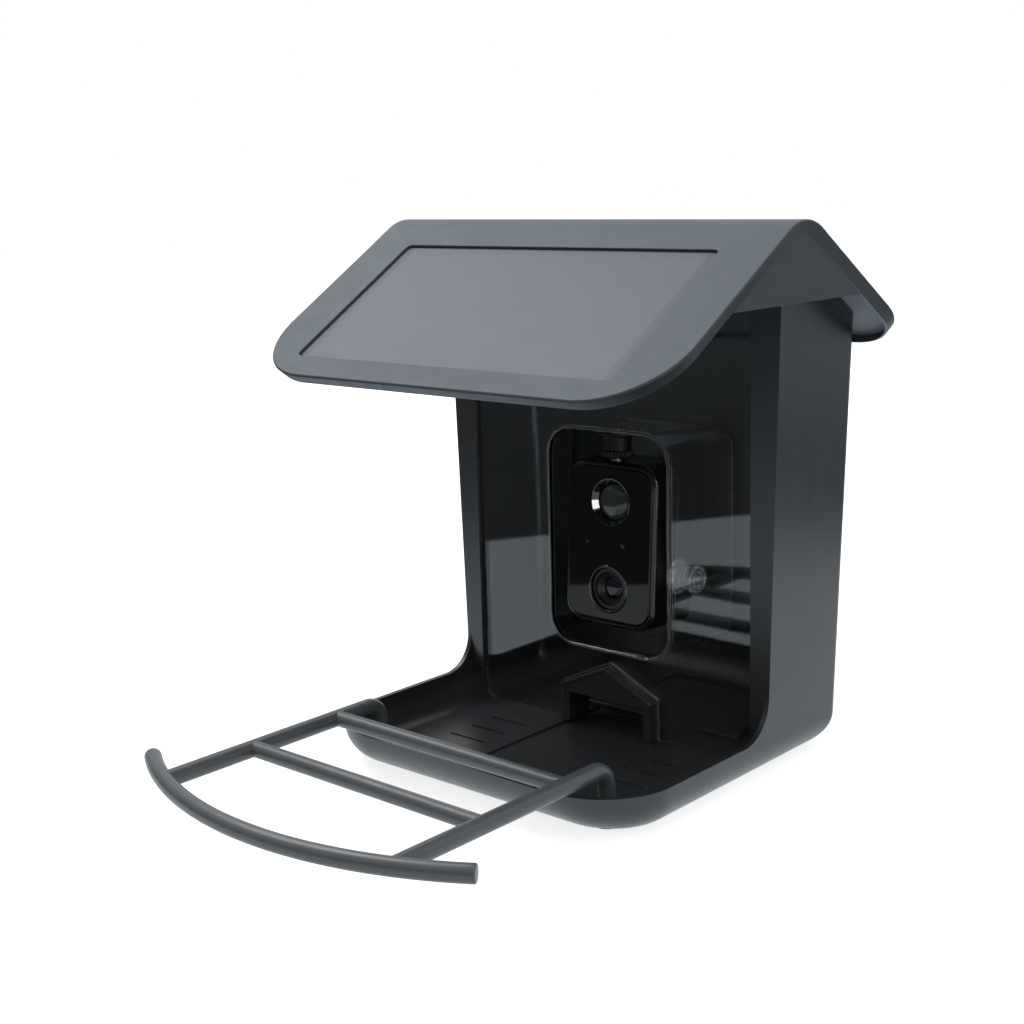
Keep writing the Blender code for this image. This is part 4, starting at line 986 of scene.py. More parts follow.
def make_rear():
    make_rear_plate()
    for i, (across, up) in enumerate(screw_places()):
        turn = rear_matrix @ at(across, 0, up) @ BACKWARD
        make_screw(f"cover_screw_{i + 1}", f"plate_screw_{i + 1}", turn, "hopper")
    ridge = insert_ridge
    profile = [(insert_radius, -ridge), (insert_radius, -insert_depth), (insert_bore, -insert_depth)]
    for i in range(insert_ridges):
        low = -insert_depth + insert_start + i * 2 * ridge
        profile += [(insert_bore, low), (insert_bore + ridge, low + ridge)]
    profile += [(insert_bore, -ridge), (insert_bore + ridge, 0), (insert_radius - ridge, 0)]
    turn = rear_matrix @ at(0, boss_height, boss_up) @ BACKWARD
    made = lathe("brass_insert", profile, brass, turn, 72, ring=True)
    finish_piece(made, "hopper", "mount_insert")
    half = hinge_middle / 2 + gap + hinge_outer
    profile = [(0, half), (hinge_pin_radius, half), (hinge_pin_radius, -half), (0, -half)]
    for i, side in enumerate(SIDES):
        turn = at(side * hinge_side, hinge_y, hinge_height) @ ACROSS
        pin = lathe(f"hinge_rod_{i + 1}", rounded_profile(profile, pin_round), steel, turn, pin_sides)
        finish_piece(pin, "hopper", f"hinge_pin_{i + 1}")


make_rear()

# Clear front window with the camera's pocket
rim_round = 0.0006
wall_round = 0.003
back_round = 0.004
back_bevel = 0.0012
wall_bevel = 0.0009
pane_edge = 0.0004
corner_share = 0.3
pane_shoulder_round = 0.004
pane_top_round = 0.003


def pocket_rings(sections):
    """Rings round the pocket, each at a depth behind the pane and a distance outside its outer form."""
    rings = []
    for depth, outset in sections:
        drawn = depth * tan(pocket_draft)
        share = depth / pocket_depth
        radius = pocket_corner + (pocket_rear_corner - pocket_corner) * share + outset
        side = pocket_half_width - drawn + outset
        low = pocket_low + drawn - outset
        high = pocket_high - depth * tan(ceiling_draft) + outset
        place = flange_thickness + gap + depth
        outline = rounded_outline(side, low, high, radius, steps=20)
        rings.append([(across, place, up) for across, up in outline])
    return rings


def ceiling_matrix():
    behind = post_y - flange_thickness - gap
    height = pocket_high - pocket_wall - behind * tan(ceiling_draft)
    return at(0, post_y, height) @ Matrix.Rotation(-ceiling_draft, 4, "X")


def make_window():
    low = floor_thickness + gap
    side = half_width_at(rail_foot) - side_wall - gap
    shoulder = rim_height + sweep_radius
    right = [(window_half_width, low), (window_half_width, shoulder), (side, rail_foot), (side, pane_top)]
    radii = [pane_corner, pane_shoulder_round, pane_shoulder_round, pane_top_round]
    outline = rounded_polygon(mirrored(right), radii + radii[::-1])
    view = at(0, flange_thickness + gap + pane_thickness / 2, 0) @ FRONT_VIEW
    body = prism("window_pane", outline, pane_thickness, clear_plastic, view, pane_edge)
    soft, rim, wall = rim_round, -pocket_rim, pocket_wall
    outer = [(rim, -soft), (rim + soft * corner_share, -soft * corner_share), (rim + soft, 0)]
    outer += [(pocket_depth - back_round, 0), (pocket_depth - back_bevel, -back_bevel)]
    outer += [(pocket_depth, -back_round)]
    back = pocket_depth - wall
    inner = [(rim - overrun, -wall + soft), (rim, -wall + soft)]
    inner += [(rim + soft * (1 - corner_share), -wall + soft * corner_share), (rim + 2 * soft, -wall)]
    inner += [(back - wall_round, -wall), (back - wall_bevel, -wall - wall_bevel)]
    inner += [(back, -wall - wall_round)]
    join(body, loft("shell", pocket_rings(outer)))
    cut(body, loft("hollow", pocket_rings(inner)))
    reach = outlet_clearance
    foot, eave = (hood_half_width + reach, -overrun), (hood_half_width + reach, hood_eave + reach)
    gable = [(-foot[0], foot[1]), foot, eave, (0, hood_peak + 2 * reach), (-eave[0], eave[1])]
    cut(body, prism("outlet", gable, 4 * (pane_thickness + overrun), view=view))
    inside = pocket_half_width - pocket_wall
    ends = (inside - overrun, plug_y, plug_height), (pocket_half_width + overrun, plug_y, plug_height)
    ceiling = ceiling_matrix()
    ways = ceiling @ Vector((0, 0, -overrun)), ceiling @ Vector((0, 0, pocket_wall + overrun))
    cut(body, rod("plug_way", plug_hole + gap, *ends), rod("bolt_way", bolt_radius + gap, *ways))
    weld(body)
    finish_piece(body, "hopper", "front_window", 28)


make_window()


# Seed chute, hood and plug
chute_round = 0.0003
chute_angle = 40
hood_rounds = [0, 0, 0.0012, 0.0015, 0.0012]
opening_rounds = [0, 0, 0.0015, 0.0015]
plug_round = 0.0002


def make_chute():
    chute_front = flange_thickness + 2 * gap + pane_thickness
    inner = hood_half_width + outlet_clearance
    outer = half_width_at(chute_high)
    inner_height = chute_high - (window_half_width - inner) * chute_pitch_share
    outer_height = chute_high + (outer - window_half_width) * chute_pitch_share
    drop = chute_thickness * hypot(1, chute_pitch_share)
    depth = base_rear - chute_front
    view = at(0, chute_front + depth / 2, 0) @ FRONT_VIEW
    low = floor_thickness + gap
    ahead = at(0, chute_front + chute_thickness / 2, 0) @ FRONT_VIEW
    tools = []
    for side in SIDES:
        near, far = side * inner, side * outer
        slope = [(near, inner_height), (far, outer_height)]
        slope += [(far, outer_height - drop), (near, inner_height - drop)]
        tools.append(prism("slope", slope, depth, view=view))
        web = [(near, low), (far, low), (far, outer_height - drop / 2), (near, inner_height - drop / 2)]
        tools.append(prism("web", web, chute_thickness, view=ahead))
    ramp = [
        (chute_ramp_front, low),
        (base_rear, chute_ramp_height - chute_thickness),
        (base_rear, chute_ramp_height),
        (chute_ramp_front, low + chute_thickness),
    ]
    half_span = window_half_width - (chute_high - chute_ramp_height) / chute_pitch_share
    body = tools[0]
    body.name = "chute_shell"
    body.data.materials.append(housing_plastic)
    for tool in tools[1:] + [prism("ramp", ramp, 2 * half_span, view=SIDE_VIEW)]:
        join(body, tool)
    wall = side_wall + gap
    rounds = (side_fillet - wall, front_fillet - wall)
    room = housing_block("room", wall, low, *rounds, rear_frame + gap, outer_height + overrun)
    combine(body, "INTERSECT", room)
    soften(body, chute_round, chute_angle)
    finish_piece(body, "hopper", "seed_chute")


def gable_outline(half, low, eave, peak):
    return [(-half, low), (half, low), (half, eave), (0, peak), (-half, eave)]


def make_hood():
    low = floor_thickness + gap
    middle = at(0, hood_depth / 2 - hood_front, 0) @ FRONT_VIEW
    outer = gable_outline(hood_half_width, low, hood_eave, hood_peak)
    body = prism("hood_shell", rounded_polygon(outer, hood_rounds), hood_depth, housing_plastic, middle)
    half, lip, foot = hood_opening_half_width, hood_lip, low - overrun
    way = [(-half, foot), (half, foot), (half, hood_opening_height), (-half, hood_opening_height)]
    cut(body, prism("way", rounded_polygon(way, opening_rounds), 2 * hood_depth, view=middle))
    face = gable_outline(hood_half_width - 2 * lip, foot, hood_eave - lip, hood_peak - 2 * lip)
    cut(body, prism("face", face, 2 * hood_lip, view=at(0, -hood_front, 0) @ FRONT_VIEW))
    soften(body, edge_round, chute_angle)
    finish_piece(body, "hopper", "outlet_hood")


def make_plug():
    thick = plug_flange_thickness
    outside, inside = -pocket_wall - gap, -(pocket_wall + gap + thick)
    knob, groove = plug_recess / 2, plug_cap_thickness / 4
    floor, sunk = plug_reach - plug_recess, plug_reach - groove
    profile = [(0, plug_reach - knob), (knob, plug_reach - knob), (knob + groove, floor)]
    profile += [(plug_recess, floor), (plug_recess, plug_reach), (plug_recess + 2 * groove, plug_reach)]
    profile += [(plug_recess + 2.5 * groove, sunk), (plug_cap - 2.5 * groove, sunk)]
    profile += [(plug_cap - 2 * groove, plug_reach), (plug_cap - groove, plug_reach)]
    profile += [(plug_cap, plug_reach - plug_cap_thickness / 2), (plug_cap, plug_reach - plug_cap_thickness)]
    profile += [(plug_hole, plug_reach - 2 * plug_cap_thickness), (plug_hole, outside)]
    profile += [(plug_flange, outside), (plug_flange, inside + thick / 2), (plug_flange - thick, inside)]
    profile += [(plug_recess, inside), (plug_recess, inside + thick), (0, inside + thick)]
    turn = at(pocket_half_width, plug_y, plug_height) @ ACROSS
    made = lathe("clear_plug", rounded_profile(profile, plug_round), clear_silicone, turn)
    finish_piece(made, "hopper", "side_plug")


make_chute()
make_hood()
make_plug()

# Roof
ridge_reach = ridge_radius * tan((front_pitch + rear_pitch) / 2)
skirt_foot = 0.0007
rear_trim = 0.00015
hollow_round = 0.0015
skirt_swell = 0.0001
ridge_steps = 12
roof_round = 0.0003
seat_rim = ((0, -0.0006), (0.0002, -0.0002), (0.0006, 0), (0.0006, overrun))


def roof_point(run, rise):
    """The (y, z) of a point on the roof: run is along the slopes from the peak, rise is square to them."""
    peak = Vector((peak_y, peak_height))
    front_way = Vector((cos(front_pitch), sin(front_pitch)))
    front_up = Vector((-sin(front_pitch), cos(front_pitch)))
    if run <= -ridge_reach:
        return peak + front_way * run + front_up * rise
    if run >= ridge_reach:
        rear_way = Vector((cos(rear_pitch), -sin(rear_pitch)))
        return peak + rear_way * run + Vector((sin(rear_pitch), cos(rear_pitch))) * rise
    centre = peak - front_way * ridge_reach - front_up * ridge_radius
    turn = front_pitch - (front_pitch + rear_pitch) * (run + ridge_reach) / (2 * ridge_reach)
    return centre + (ridge_radius + rise) * Vector((-sin(turn), cos(turn)))


def bend_to_roof(obj, steps=32):
    bm = opened(obj)
    for step in range(steps + 1):
        place = (0, -ridge_reach + 2 * ridge_reach * step / steps, 0)
        everything = bm.verts[:] + bm.edges[:] + bm.faces[:]
        bmesh.ops.bisect_plane(bm, geom=everything, dist=1e-6, plane_co=place, plane_no=(0, 1, 0))
    for vert in bm.verts:
        bent = roof_point(vert.co.y, vert.co.z)
        vert.co = (vert.co.x, bent.x, bent.y)
    closed(obj, bm)


def roof_ring(inset, rise, rear_inset=0.0):
    ends = (-front_slope + inset, rear_slope - inset - rear_inset)
    corners = (roof_front_corner - inset, roof_rear_corner - inset)
    outline = rounded_outline(roof_half_width - inset, *ends, *corners, 32)
    return [(across, along, rise) for across, along in outline]


def flat_roof():
    """The roof before it is bent: its skirt, its hollow and the seat of the panel."""
    edge, wall, foot = roof_edge_round / 2, roof_sheet, skirt_foot
    outer = [
        roof_ring(roof_skirt_draft + foot, -roof_skirt),
        roof_ring(roof_skirt_draft + foot * corner_share, -roof_skirt + foot * corner_share),
        roof_ring(roof_skirt_draft - skirt_swell, -roof_skirt + foot),
    ]
    for turn in quarter(8):
        inset, drop = edge * (1 - cos(turn)), edge * (1 - sin(turn))
        round_inset = roof_edge_round - sqrt(roof_edge_round**2 - (roof_edge_round - drop) ** 2)
        outer.append(roof_ring(inset, -drop, round_inset - inset + rear_trim))
    flat = loft("roof_shell", outer, roof_plastic)
    inner = [roof_ring(wall + roof_skirt_draft, -roof_skirt - overrun)]
    for turn in quarter(6):
        across, up = hollow_round * (1 - cos(turn)), hollow_round * (1 - sin(turn))
        inner.append(roof_ring(wall + across, -wall - up))
    cut(flat, loft("cavity", inner))
    high = -solar_high
    low = high - solar_length
    radius = solar_corner_radius
    floor = solar_recess + roof_sheet
    tray = rounded_outline(solar_half_width + roof_sheet, low - wall, high + wall, radius + wall)
    below = at(0, 0, -(floor + roof_sheet / 2) / 2)
    join(flat, prism("tray", tray, floor - roof_sheet / 2, view=below))
    rings = []
    for grow, rise in ((0, -solar_recess), *seat_rim):
        outline = rounded_outline(solar_half_width + grow, low - grow, high + grow, radius + grow)
        rings.append([(across, along, rise) for across, along in outline])
    cut(flat, loft("seat", rings))
    weld(flat)
    return flat


def make_roof():
    body = flat_roof()
    bend_to_roof(body)
    sink = roof_sheet / 2
    runs = [-(gable_drop - sink / cos(front_pitch)) / sin(front_pitch)]
    runs += [(gable_drop - sink / cos(rear_pitch)) / sin(rear_pitch)]
    runs += [ridge_reach - 2 * ridge_reach * i / ridge_steps for i in range(ridge_steps + 1)]
    gable = [tuple(roof_point(run, -sink)) for run in runs]
    for side in SIDES:
        view = at(side * (roof_half_width - gable_set_in - gable_thickness / 2), 0, 0) @ SIDE_VIEW
        join(body, prism("gable", gable, gable_thickness, view=view))
    under = rear_plane(hinge_y) - roof_sheet / 2
    for side in SIDES:
        for end in SIDES:
            near = side * hinge_side + end * (hinge_middle / 2 + gap)
            first, last = sorted((near, near + end * hinge_outer))
            low = (first, hinge_y - hinge_pin_radius, hinge_height)
            ear = box("ear", low, (last, hinge_y + hinge_pin_radius, under))
            join(body, knuckle(first, last), ear)
    soften(body, roof_round, 50, 2)
    finish_piece(body, "roof", "roof_lid", 30)


def make_panel():
    middle = -(solar_high + solar_length / 2)
    long = solar_length / 2 - gap
    outline = rounded_outline(solar_half_width - gap, -long, long, solar_corner_radius)
    thick = solar_glass_thickness / 3
    place = roof_point(middle, -solar_recess + 2 * gap + solar_cell_thickness + thick / 2)
    view = at(0, place.x, place.y) @ Matrix.Rotation(front_pitch, 4, "X")
    made = prism("panel_face", outline, thick, panel_face, view, thick / 3)
    finish_piece(made, "roof", "solar_glass")


make_roof()
make_panel()


# Perch
leg_straight = 0.002
rod_straight = 0.004
bow_steps = 64
bow_flat = radians(0.05)


def make_perch():
    front_drop = perch_front_curve - sqrt(perch_front_curve**2 - perch_half_width**2)
    centre = (-perch_leg_y - perch_bend, perch_height - perch_bend)
    path = [(-perch_leg_y, floor_thickness + gap), (-perch_leg_y, centre[1] - leg_straight)]
    path += arc(centre, perch_bend, 0, 90, 16)
    path += [(centre[0] - rod_straight, perch_height), (-(perch_front_y - front_drop), perch_height)]
    made = []
    for side in SIDES:
        points = [(side * perch_half_width, *point) for point in path]
        made.append(sweep("perch_bars", points, perch_radius, perch_plastic))
    for i in range(2):
        along = -(perch_bar_y + i * perch_bar_pitch)
        ends = [(side * perch_half_width, along, perch_height) for side in SIDES]
        made.append(sweep(f"rung_{i}", ends, perch_rung_radius))
    spread = degrees(asin((perch_front_half_length - perch_end_trim) / perch_front_curve))
    centre = (0, -perch_front_y + perch_front_curve + perch_bow_swell)
    bow = arc(centre, perch_front_curve, -90 - spread, -90 + spread, bow_steps)
    bow = [(*point, perch_height) for point in bow]
    made.append(sweep("bow", bow, perch_front_radius + perch_bow_swell))
    body = made[0]
    for tool in made[1:]:
        join(body, tool)
    weld(body, bow_flat)
    finish_piece(body, "perch", "perch_frame", 30, weighted=False)


make_perch()


# Camera hanger
grip_rim = 0.0005
grip_bevel = 0.00015
nut_ribs = 16
nut_rib_depth = 0.0006
collar_ribs = 24
collar_rib_depth = 0.0005
post_rounds = [0, 0.0004, 0, 0.0003, 0.0004, 0.0008, 0.0002, 0.0]


def knurled(name, radius, low, high, ribs, depth, turn):
    """A turned grip with rounded ribs and soft rims."""
    rings = []
    levels = [(grip_rim, low), (grip_bevel, low + grip_bevel), (0, low + grip_rim)]
    levels += [(0, high - grip_rim), (grip_bevel, high - grip_bevel), (grip_rim, high)]
    angles = [2 * pi * i / (ribs * 12) for i in range(ribs * 12)]
    for inset, up in levels:
        ring = []
        for angle in angles:
            reach = radius - inset - depth * (0.5 - 0.5 * cos(ribs * angle)) ** 2
            ring.append(turn @ Vector((reach * cos(angle), reach * sin(angle), up)))
        rings.append(ring)
    return loft(name, rings, post_plastic)


def make_hanger():
    turn = ceiling_matrix()
    low, seat = -ball_drop, ball_radius + gap
    top, flange = pocket_wall + nut_height, -gap - post_flange_thickness
    profile = [(0, top), (bolt_radius, top), (bolt_radius, -gap), (post_flange, -gap)]
    profile += [(post_flange, -gap - post_flange_thickness / 2), (post_radius, flange)]
    profile = rounded_profile(profile + [(post_radius, low), (seat, low)], post_rounds)
    profile += arc((0, low), seat, 0, 90, 10)[1:-1] + [(0, low + ball_radius + gap)]
    finish_piece(lathe("hanger_post", profile, post_plastic, turn), "hanger", "mount_post")
    low = pocket_wall + gap
    nut = knurled("post_nut", nut_radius, low, low + nut_height - gap, nut_ribs, nut_rib_depth, turn)
    ends = turn @ Vector((0, 0, low - overrun)), turn @ Vector((0, 0, low + nut_height + overrun))
    cut(nut, rod("bore", bolt_radius + gap, *ends))
    finish_piece(nut, "hanger", "mount_nut")
    low = -ball_drop - gap - collar_height
    ring = knurled("grip_ring", collar_radius, low, low + collar_height, collar_ribs, collar_rib_depth, turn)
    bm = bmesh.new()
    bmesh.ops.create_uvsphere(bm, u_segments=64, v_segments=32, radius=seat)
    bmesh.ops.transform(bm, matrix=turn @ at(0, 0, -ball_drop), verts=bm.verts)
    cut(ring, from_bmesh("seat", bm))
    finish_piece(ring, "hanger", "locking_collar")


make_hanger()

# Camera: built in the ball's own leaning frame
camera_frame = Matrix.Translation(ceiling_matrix() @ Vector((0, 0, -ball_drop)))
camera_frame @= Matrix.Rotation(-ceiling_draft, 4, "X")
middle_up = -(camera_top - ball_drop) - camera_height / 2
face_at = -camera_front - face_proud
seat_at = face_at + face_thickness + gap
boss_end = camera_rear - camera_wall - gap
outer_size = (camera_width, camera_height, camera_corner)
face_size = (face_width, face_height, face_corner)
least_corner = 0.0015
seam_round = 0.0003
button_flange = 0.001
button_flange_thickness = 0.0008
barrel_ridges = 6
ridge_in = 0.00018
ridge_down = 0.00012
ridge_up = 0.00022
face_round = 0.0009
face_clearance = 0.0001
lamp_clearance = 0.00005
lamp_round = 0.0002
face_behind = 0.01
button_dish = 0.0003
dish_share = 0.6
button_rounds = [0, 0.0006, 0.0006, 0.0002, 0.0002, 0.0002, 0]
port_corner = 0.0014
cover_corner = 0.0022
cover_edge = 0.0003
stub_corner = 0.0011
quarter_dome = [(0, 1)] + arc((0, 0), 1, 90, 0, 24)[1:]


def camera_loft(name, sections, paint=None, size=outer_size):
    """A rounded box seen from the front, as wide as its insets say at each depth."""
    width, height, radius = size
    rings = []
    for inset, depth in sections:
        corner = max(radius - inset, least_corner)
        tall = height / 2 - inset
        outline = rounded_outline(width / 2 - inset, -tall, tall, corner, steps=16)
        rings.append([camera_frame @ Vector((across, depth, up + middle_up)) for across, up in outline])
    return loft(name, rings, paint)


def camera_disc(name, radius, across, up, near, far, sides=72):
    ends = [camera_frame @ Vector((across, depth, up + middle_up)) for depth in (near, far)]
    return rod(name, radius, *ends, sides)


def camera_lathe(name, profile, across, up, paint, ring=False, depth=face_at, way=FRONT_VIEW):
    turn = camera_frame @ at(across, depth, up + middle_up) @ way
    return lathe(name, profile, paint, turn, ring=ring)


def port_plate(name, half_width, half_height, radius, steps, thickness, out, *looks):
    """A rounded plate at the charging port, at a distance out of the rear wall."""
    outline = rounded_outline(half_width, -half_height, half_height, radius, steps=steps)
    view = camera_frame @ at(0, camera_rear + out, middle_up + usb_up) @ FRONT_VIEW
    paint, edge = looks or (None, 0.0)
    return prism(name, outline, thickness, paint, view, edge)


def rounded_side(start, end, radius):
    """Insets and depths of an edge round between a flat face at one depth and the side."""
    sign = 1 if end > start else -1
    return [(radius * (1 - sin(turn)), start + sign * radius * (1 - cos(turn))) for turn in quarter(8)]


case_screws = [(side * camera_screw_side, end * camera_screw_up) for side in SIDES for end in SIDES]


def make_front_shell():
    sections = rounded_side(-camera_front, 0, camera_edge)
    sections += [(0, camera_seam - seam_round), (seam_round, camera_seam)]
    front = camera_loft("camera_shell_front", sections, casing_satin)
    floor = seat_at + camera_wall
    hollow = camera_loft("hollow", [(camera_wall, floor), (camera_wall, camera_seam + overrun)])
    seat = camera_loft("seat", [(-gap, -camera_front - overrun), (-gap, seat_at)], size=face_size)
    cut(front, hollow, seat)
    ends = (-camera_front, floor + overrun)
    way = camera_disc("way", pir_bush_radius + gap, 0, pir_up, *ends)
    cut(front, way, camera_disc("eye", barrel_radius + gap, 0, -lens_down, *ends))
    bore = camera_rear - screw_length - gap
    for place in case_screws:
        join(front, camera_disc("boss", camera_boss, *place, seat_at + camera_wall / 2, boss_end, 48))
        cut(front, camera_disc("bore", screw_shank + gap, *place, bore, boss_end + overrun, 32))
    finish_piece(front, "camera", "camera_front", 34)


def make_rear_shell():
    sections = [(seam_round, camera_seam + gap), (0, camera_seam + 2 * gap)]
    sections += rounded_side(camera_rear, 0, camera_edge)[::-1]
    rear = camera_loft("camera_shell_rear", sections, casing_plastic)
    narrow = camera_wall + camera_edge * corner_share
    hollow = [(camera_wall, camera_seam - overrun), (narrow, camera_rear - camera_wall)]
    cut(rear, camera_loft("hollow", hollow))
    end = camera_rear + overrun
    sink = camera_rear - screw_head_height - gap
    tools = [camera_disc("button_way", button_radius + gap, 0, -button_down, camera_seam, end)]
    for place in case_screws:
        tools.append(camera_disc("hole", screw_shank + gap, *place, camera_seam, end, 32))
        tools.append(camera_disc("sink", screw_head + gap, *place, sink, end, 48))
    half = (usb_width / 2 - usb_thickness, usb_height / 2 - usb_thickness)
    tools.append(port_plate("port", *half, port_corner, 8, 2 * (camera_wall + overrun), 0))
    cut(rear, *tools)
    finish_piece(rear, "camera", "camera_rear", 34)
    for i, (across, up) in enumerate(case_screws):
        spot = camera_frame @ at(across, camera_rear, middle_up + up) @ BACKWARD
        make_screw(f"rear_screw_{i + 1}", f"case_screw_{i + 1}", spot, "camera")


def make_face():
    sections = rounded_side(face_at, 0, face_round) + [(0, face_at + face_thickness)]
    face = camera_loft("camera_face", sections, gloss, face_size)
    holes = [
        (pir_ring_radius + face_clearance, 0, pir_up),
        (lens_ring_radius + face_clearance, 0, -lens_down),
        (led_radius + lamp_clearance, led_x, led_up),
        (sensor_radius + lamp_clearance, -sensor_x, led_up),
        (port_radius, port_x, -port_down),
    ]
    cut(face, *[camera_disc("hole", *hole, face_at - overrun, face_behind) for hole in holes])
    finish_piece(face, "camera", "camera_faceplate", 34)


def make_sensor():
    wide = pir_ring_radius - face_proud
    foot = -pir_bush_depth
    profile = [(pir_ring_radius, -face_thickness), (pir_bush_radius, -face_thickness)]
    profile += [(pir_bush_radius, foot), (pir_bore, foot), (pir_bore, -pir_cone_depth)]
    profile += [(wide - face_proud, -face_clearance), (wide, 0.0), (pir_ring_radius, -face_proud)]
    ring = camera_lathe("sensor_ring", profile, 0, pir_up, ring_gloss, ring=True)
    finish_piece(ring, "camera", "pir_ring", 25)
    radius = pir_bore - gap
    base = foot + pir_dome_edge
    profile = [(radius * a, base + pir_dome_height * b) for a, b in quarter_dome]
    profile += [(radius, foot), (0, foot)]
    dome = camera_lathe("sensor_dome", profile, 0, pir_up, dome_plastic)
    finish_piece(dome, "camera", "pir_dome")


def make_lens():
    soft = lens_ring_proud
    profile = [(lens_ring_radius, -face_thickness), (lens_ring_bore, -face_thickness)]
    profile += [(lens_ring_bore, soft / 2), (lens_ring_bore + soft / 2, soft)]
    profile += [(lens_ring_radius - soft, soft), (lens_ring_radius, 0)]
    ring = camera_lathe("eye_ring", profile, 0, -lens_down, ring_gloss, ring=True)
    finish_piece(ring, "camera", "lens_ring", 50)
    low = -barrel_lip - barrel_step_depth
    seat = low - barrel_cone_depth
    bore = lens_radius + gap
    profile = [(0, seat - lens_bulge), (bore, seat - lens_bulge), (bore, seat)]
    for i in range(barrel_ridges):
        share = (i + 0.5) / barrel_ridges
        reach = bore + (barrel_step_radius - lens_radius - gap) * share
        up = seat + (low - seat) * share
        profile += [(reach - ridge_in, up - ridge_down), (reach, up + ridge_up)]
    foot = -barrel_lip - barrel_length
    profile += [(barrel_step_radius, low), (barrel_step_radius, -barrel_lip), (barrel_radius, -barrel_lip)]
    profile += [(barrel_radius, foot), (0, foot)]
    barrel = camera_lathe("eye_barrel", profile, 0, -lens_down, casing_plastic)
    finish_piece(barrel, "camera", "lens_barrel", 25)
    profile = [(lens_radius * a, seat + lens_bulge * (b - 1) / 2 + lens_bulge / 2) for a, b in quarter_dome]
    profile[0] = (0, seat + lens_bulge / 2)
    profile += [(lens_radius, seat - lens_bulge + gap), (0, seat - lens_bulge + gap)]
    glass = camera_lathe("eye_lens", profile, 0, -lens_down, lens_glass)
    finish_piece(glass, "camera", "lens_glass")


def make_lamps():
    for name, node, radius, across, paint, slot in (
        ("lamp_window", "status_led", led_radius, led_x, lamp_plastic, "status_lamp"),
        ("sensor_window", "light_sensor", sensor_radius, -sensor_x, lens_glass, "lens_glass"),
    ):
        profile = [(0, 0), (radius, 0), (radius, -face_thickness), (0, -face_thickness)]
        made = camera_lathe(name, rounded_profile(profile, [0, lamp_round, 0, 0]), across, led_up, paint)
        finish_piece(made, "camera", node)


def make_ball():
    neck = degrees(acos(stem_radius / ball_radius))
    foot = -(camera_top - gap - ball_drop)
    rim = foot + foot_thickness
    profile = [(0, ball_radius)] + arc((0, 0), ball_radius, 90, -neck, 28)[1:]
    profile += [(stem_radius, rim), (foot_radius, rim), (foot_radius, foot), (0, foot)]
    finish_piece(lathe("ball_joint", profile, dark_steel, camera_frame), "camera", "ball_stud")


def make_buttons():
    wall = camera_wall + gap
    wide = button_radius + button_flange
    end = -wall - button_flange_thickness
    profile = [(0, button_proud - button_dish), (button_radius * dish_share, button_proud)]
    profile += [(button_radius, button_proud), (button_radius, -wall), (wide, -wall), (wide, end), (0, end)]
    profile = rounded_profile(profile, button_rounds, 5)
    button = camera_lathe("soft_button", profile, 0, -button_down, rubber, depth=camera_rear, way=BACKWARD)
    finish_piece(button, "power_button", "power_button")
    half = (usb_width / 2, usb_height / 2)
    out = gap + usb_thickness / 2
    cover = port_plate("port_cover", *half, cover_corner, 10, usb_thickness, out, rubber, cover_edge)
    inside = usb_thickness + gap
    deep = camera_wall + gap + usb_thickness / 2
    join(cover, port_plate("stub", half[0] - inside, half[1] - inside, stub_corner, 8, deep, out - deep / 2))
    finish_piece(cover, "usb_cover", "usb_cover")


make_front_shell()
make_rear_shell()
make_face()
make_sensor()
make_lens()
make_lamps()
make_ball()
make_buttons()

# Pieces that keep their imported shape
for name, paint in (
    ("solar_cells", cells),
    ("solar_junction_box", casing_plastic),
    ("pir_sensor", steel),
    ("main_board", board),
    ("battery_cell_1", sleeve),
    ("battery_cell_2", sleeve),
):
    nodes[name].data.materials.clear()
    nodes[name].data.materials.append(paint)

# Stage: a white table that keeps the object's shadow; past its left and rear edges, mirrors see a dark room
table_left = 0.444
table_turn = radians(30.2)
table_soft = 0.006
table_rear = 0.46
table_radius = 6.0
table_drop = 0.0002
white = (0.8, 0.8, 0.8)
light_grey = ((0.48, 0.48, 0.49), (0.52, 0.52, 0.53))
mirror_tint = (0.88, 0.96, 1.0)
least_mirrored = 0.10
ceiling_level = 0.60


def not_yet(tree, path, count):
    return one_less(tree, calculated(tree, "MINIMUM", path[count], 1))


def kinds_of_ray(tree):
    """Two switches: for what the camera sees plainly or through clear pieces, and for what pieces mirror."""
    path = add(tree, "ShaderNodeLightPath").outputs
    plain = times(tree, path["Is Transmission Ray"], not_yet(tree, path, "Diffuse Depth"))
    fresh = not_yet(tree, path, "Glossy Depth")
    direct = calculated(tree, "MAXIMUM", path["Is Camera Ray"], times(tree, plain, fresh))
    mirrored = times(tree, plain, one_less(tree, fresh))
    return direct, calculated(tree, "MAXIMUM", path["Is Glossy Ray"], mirrored)


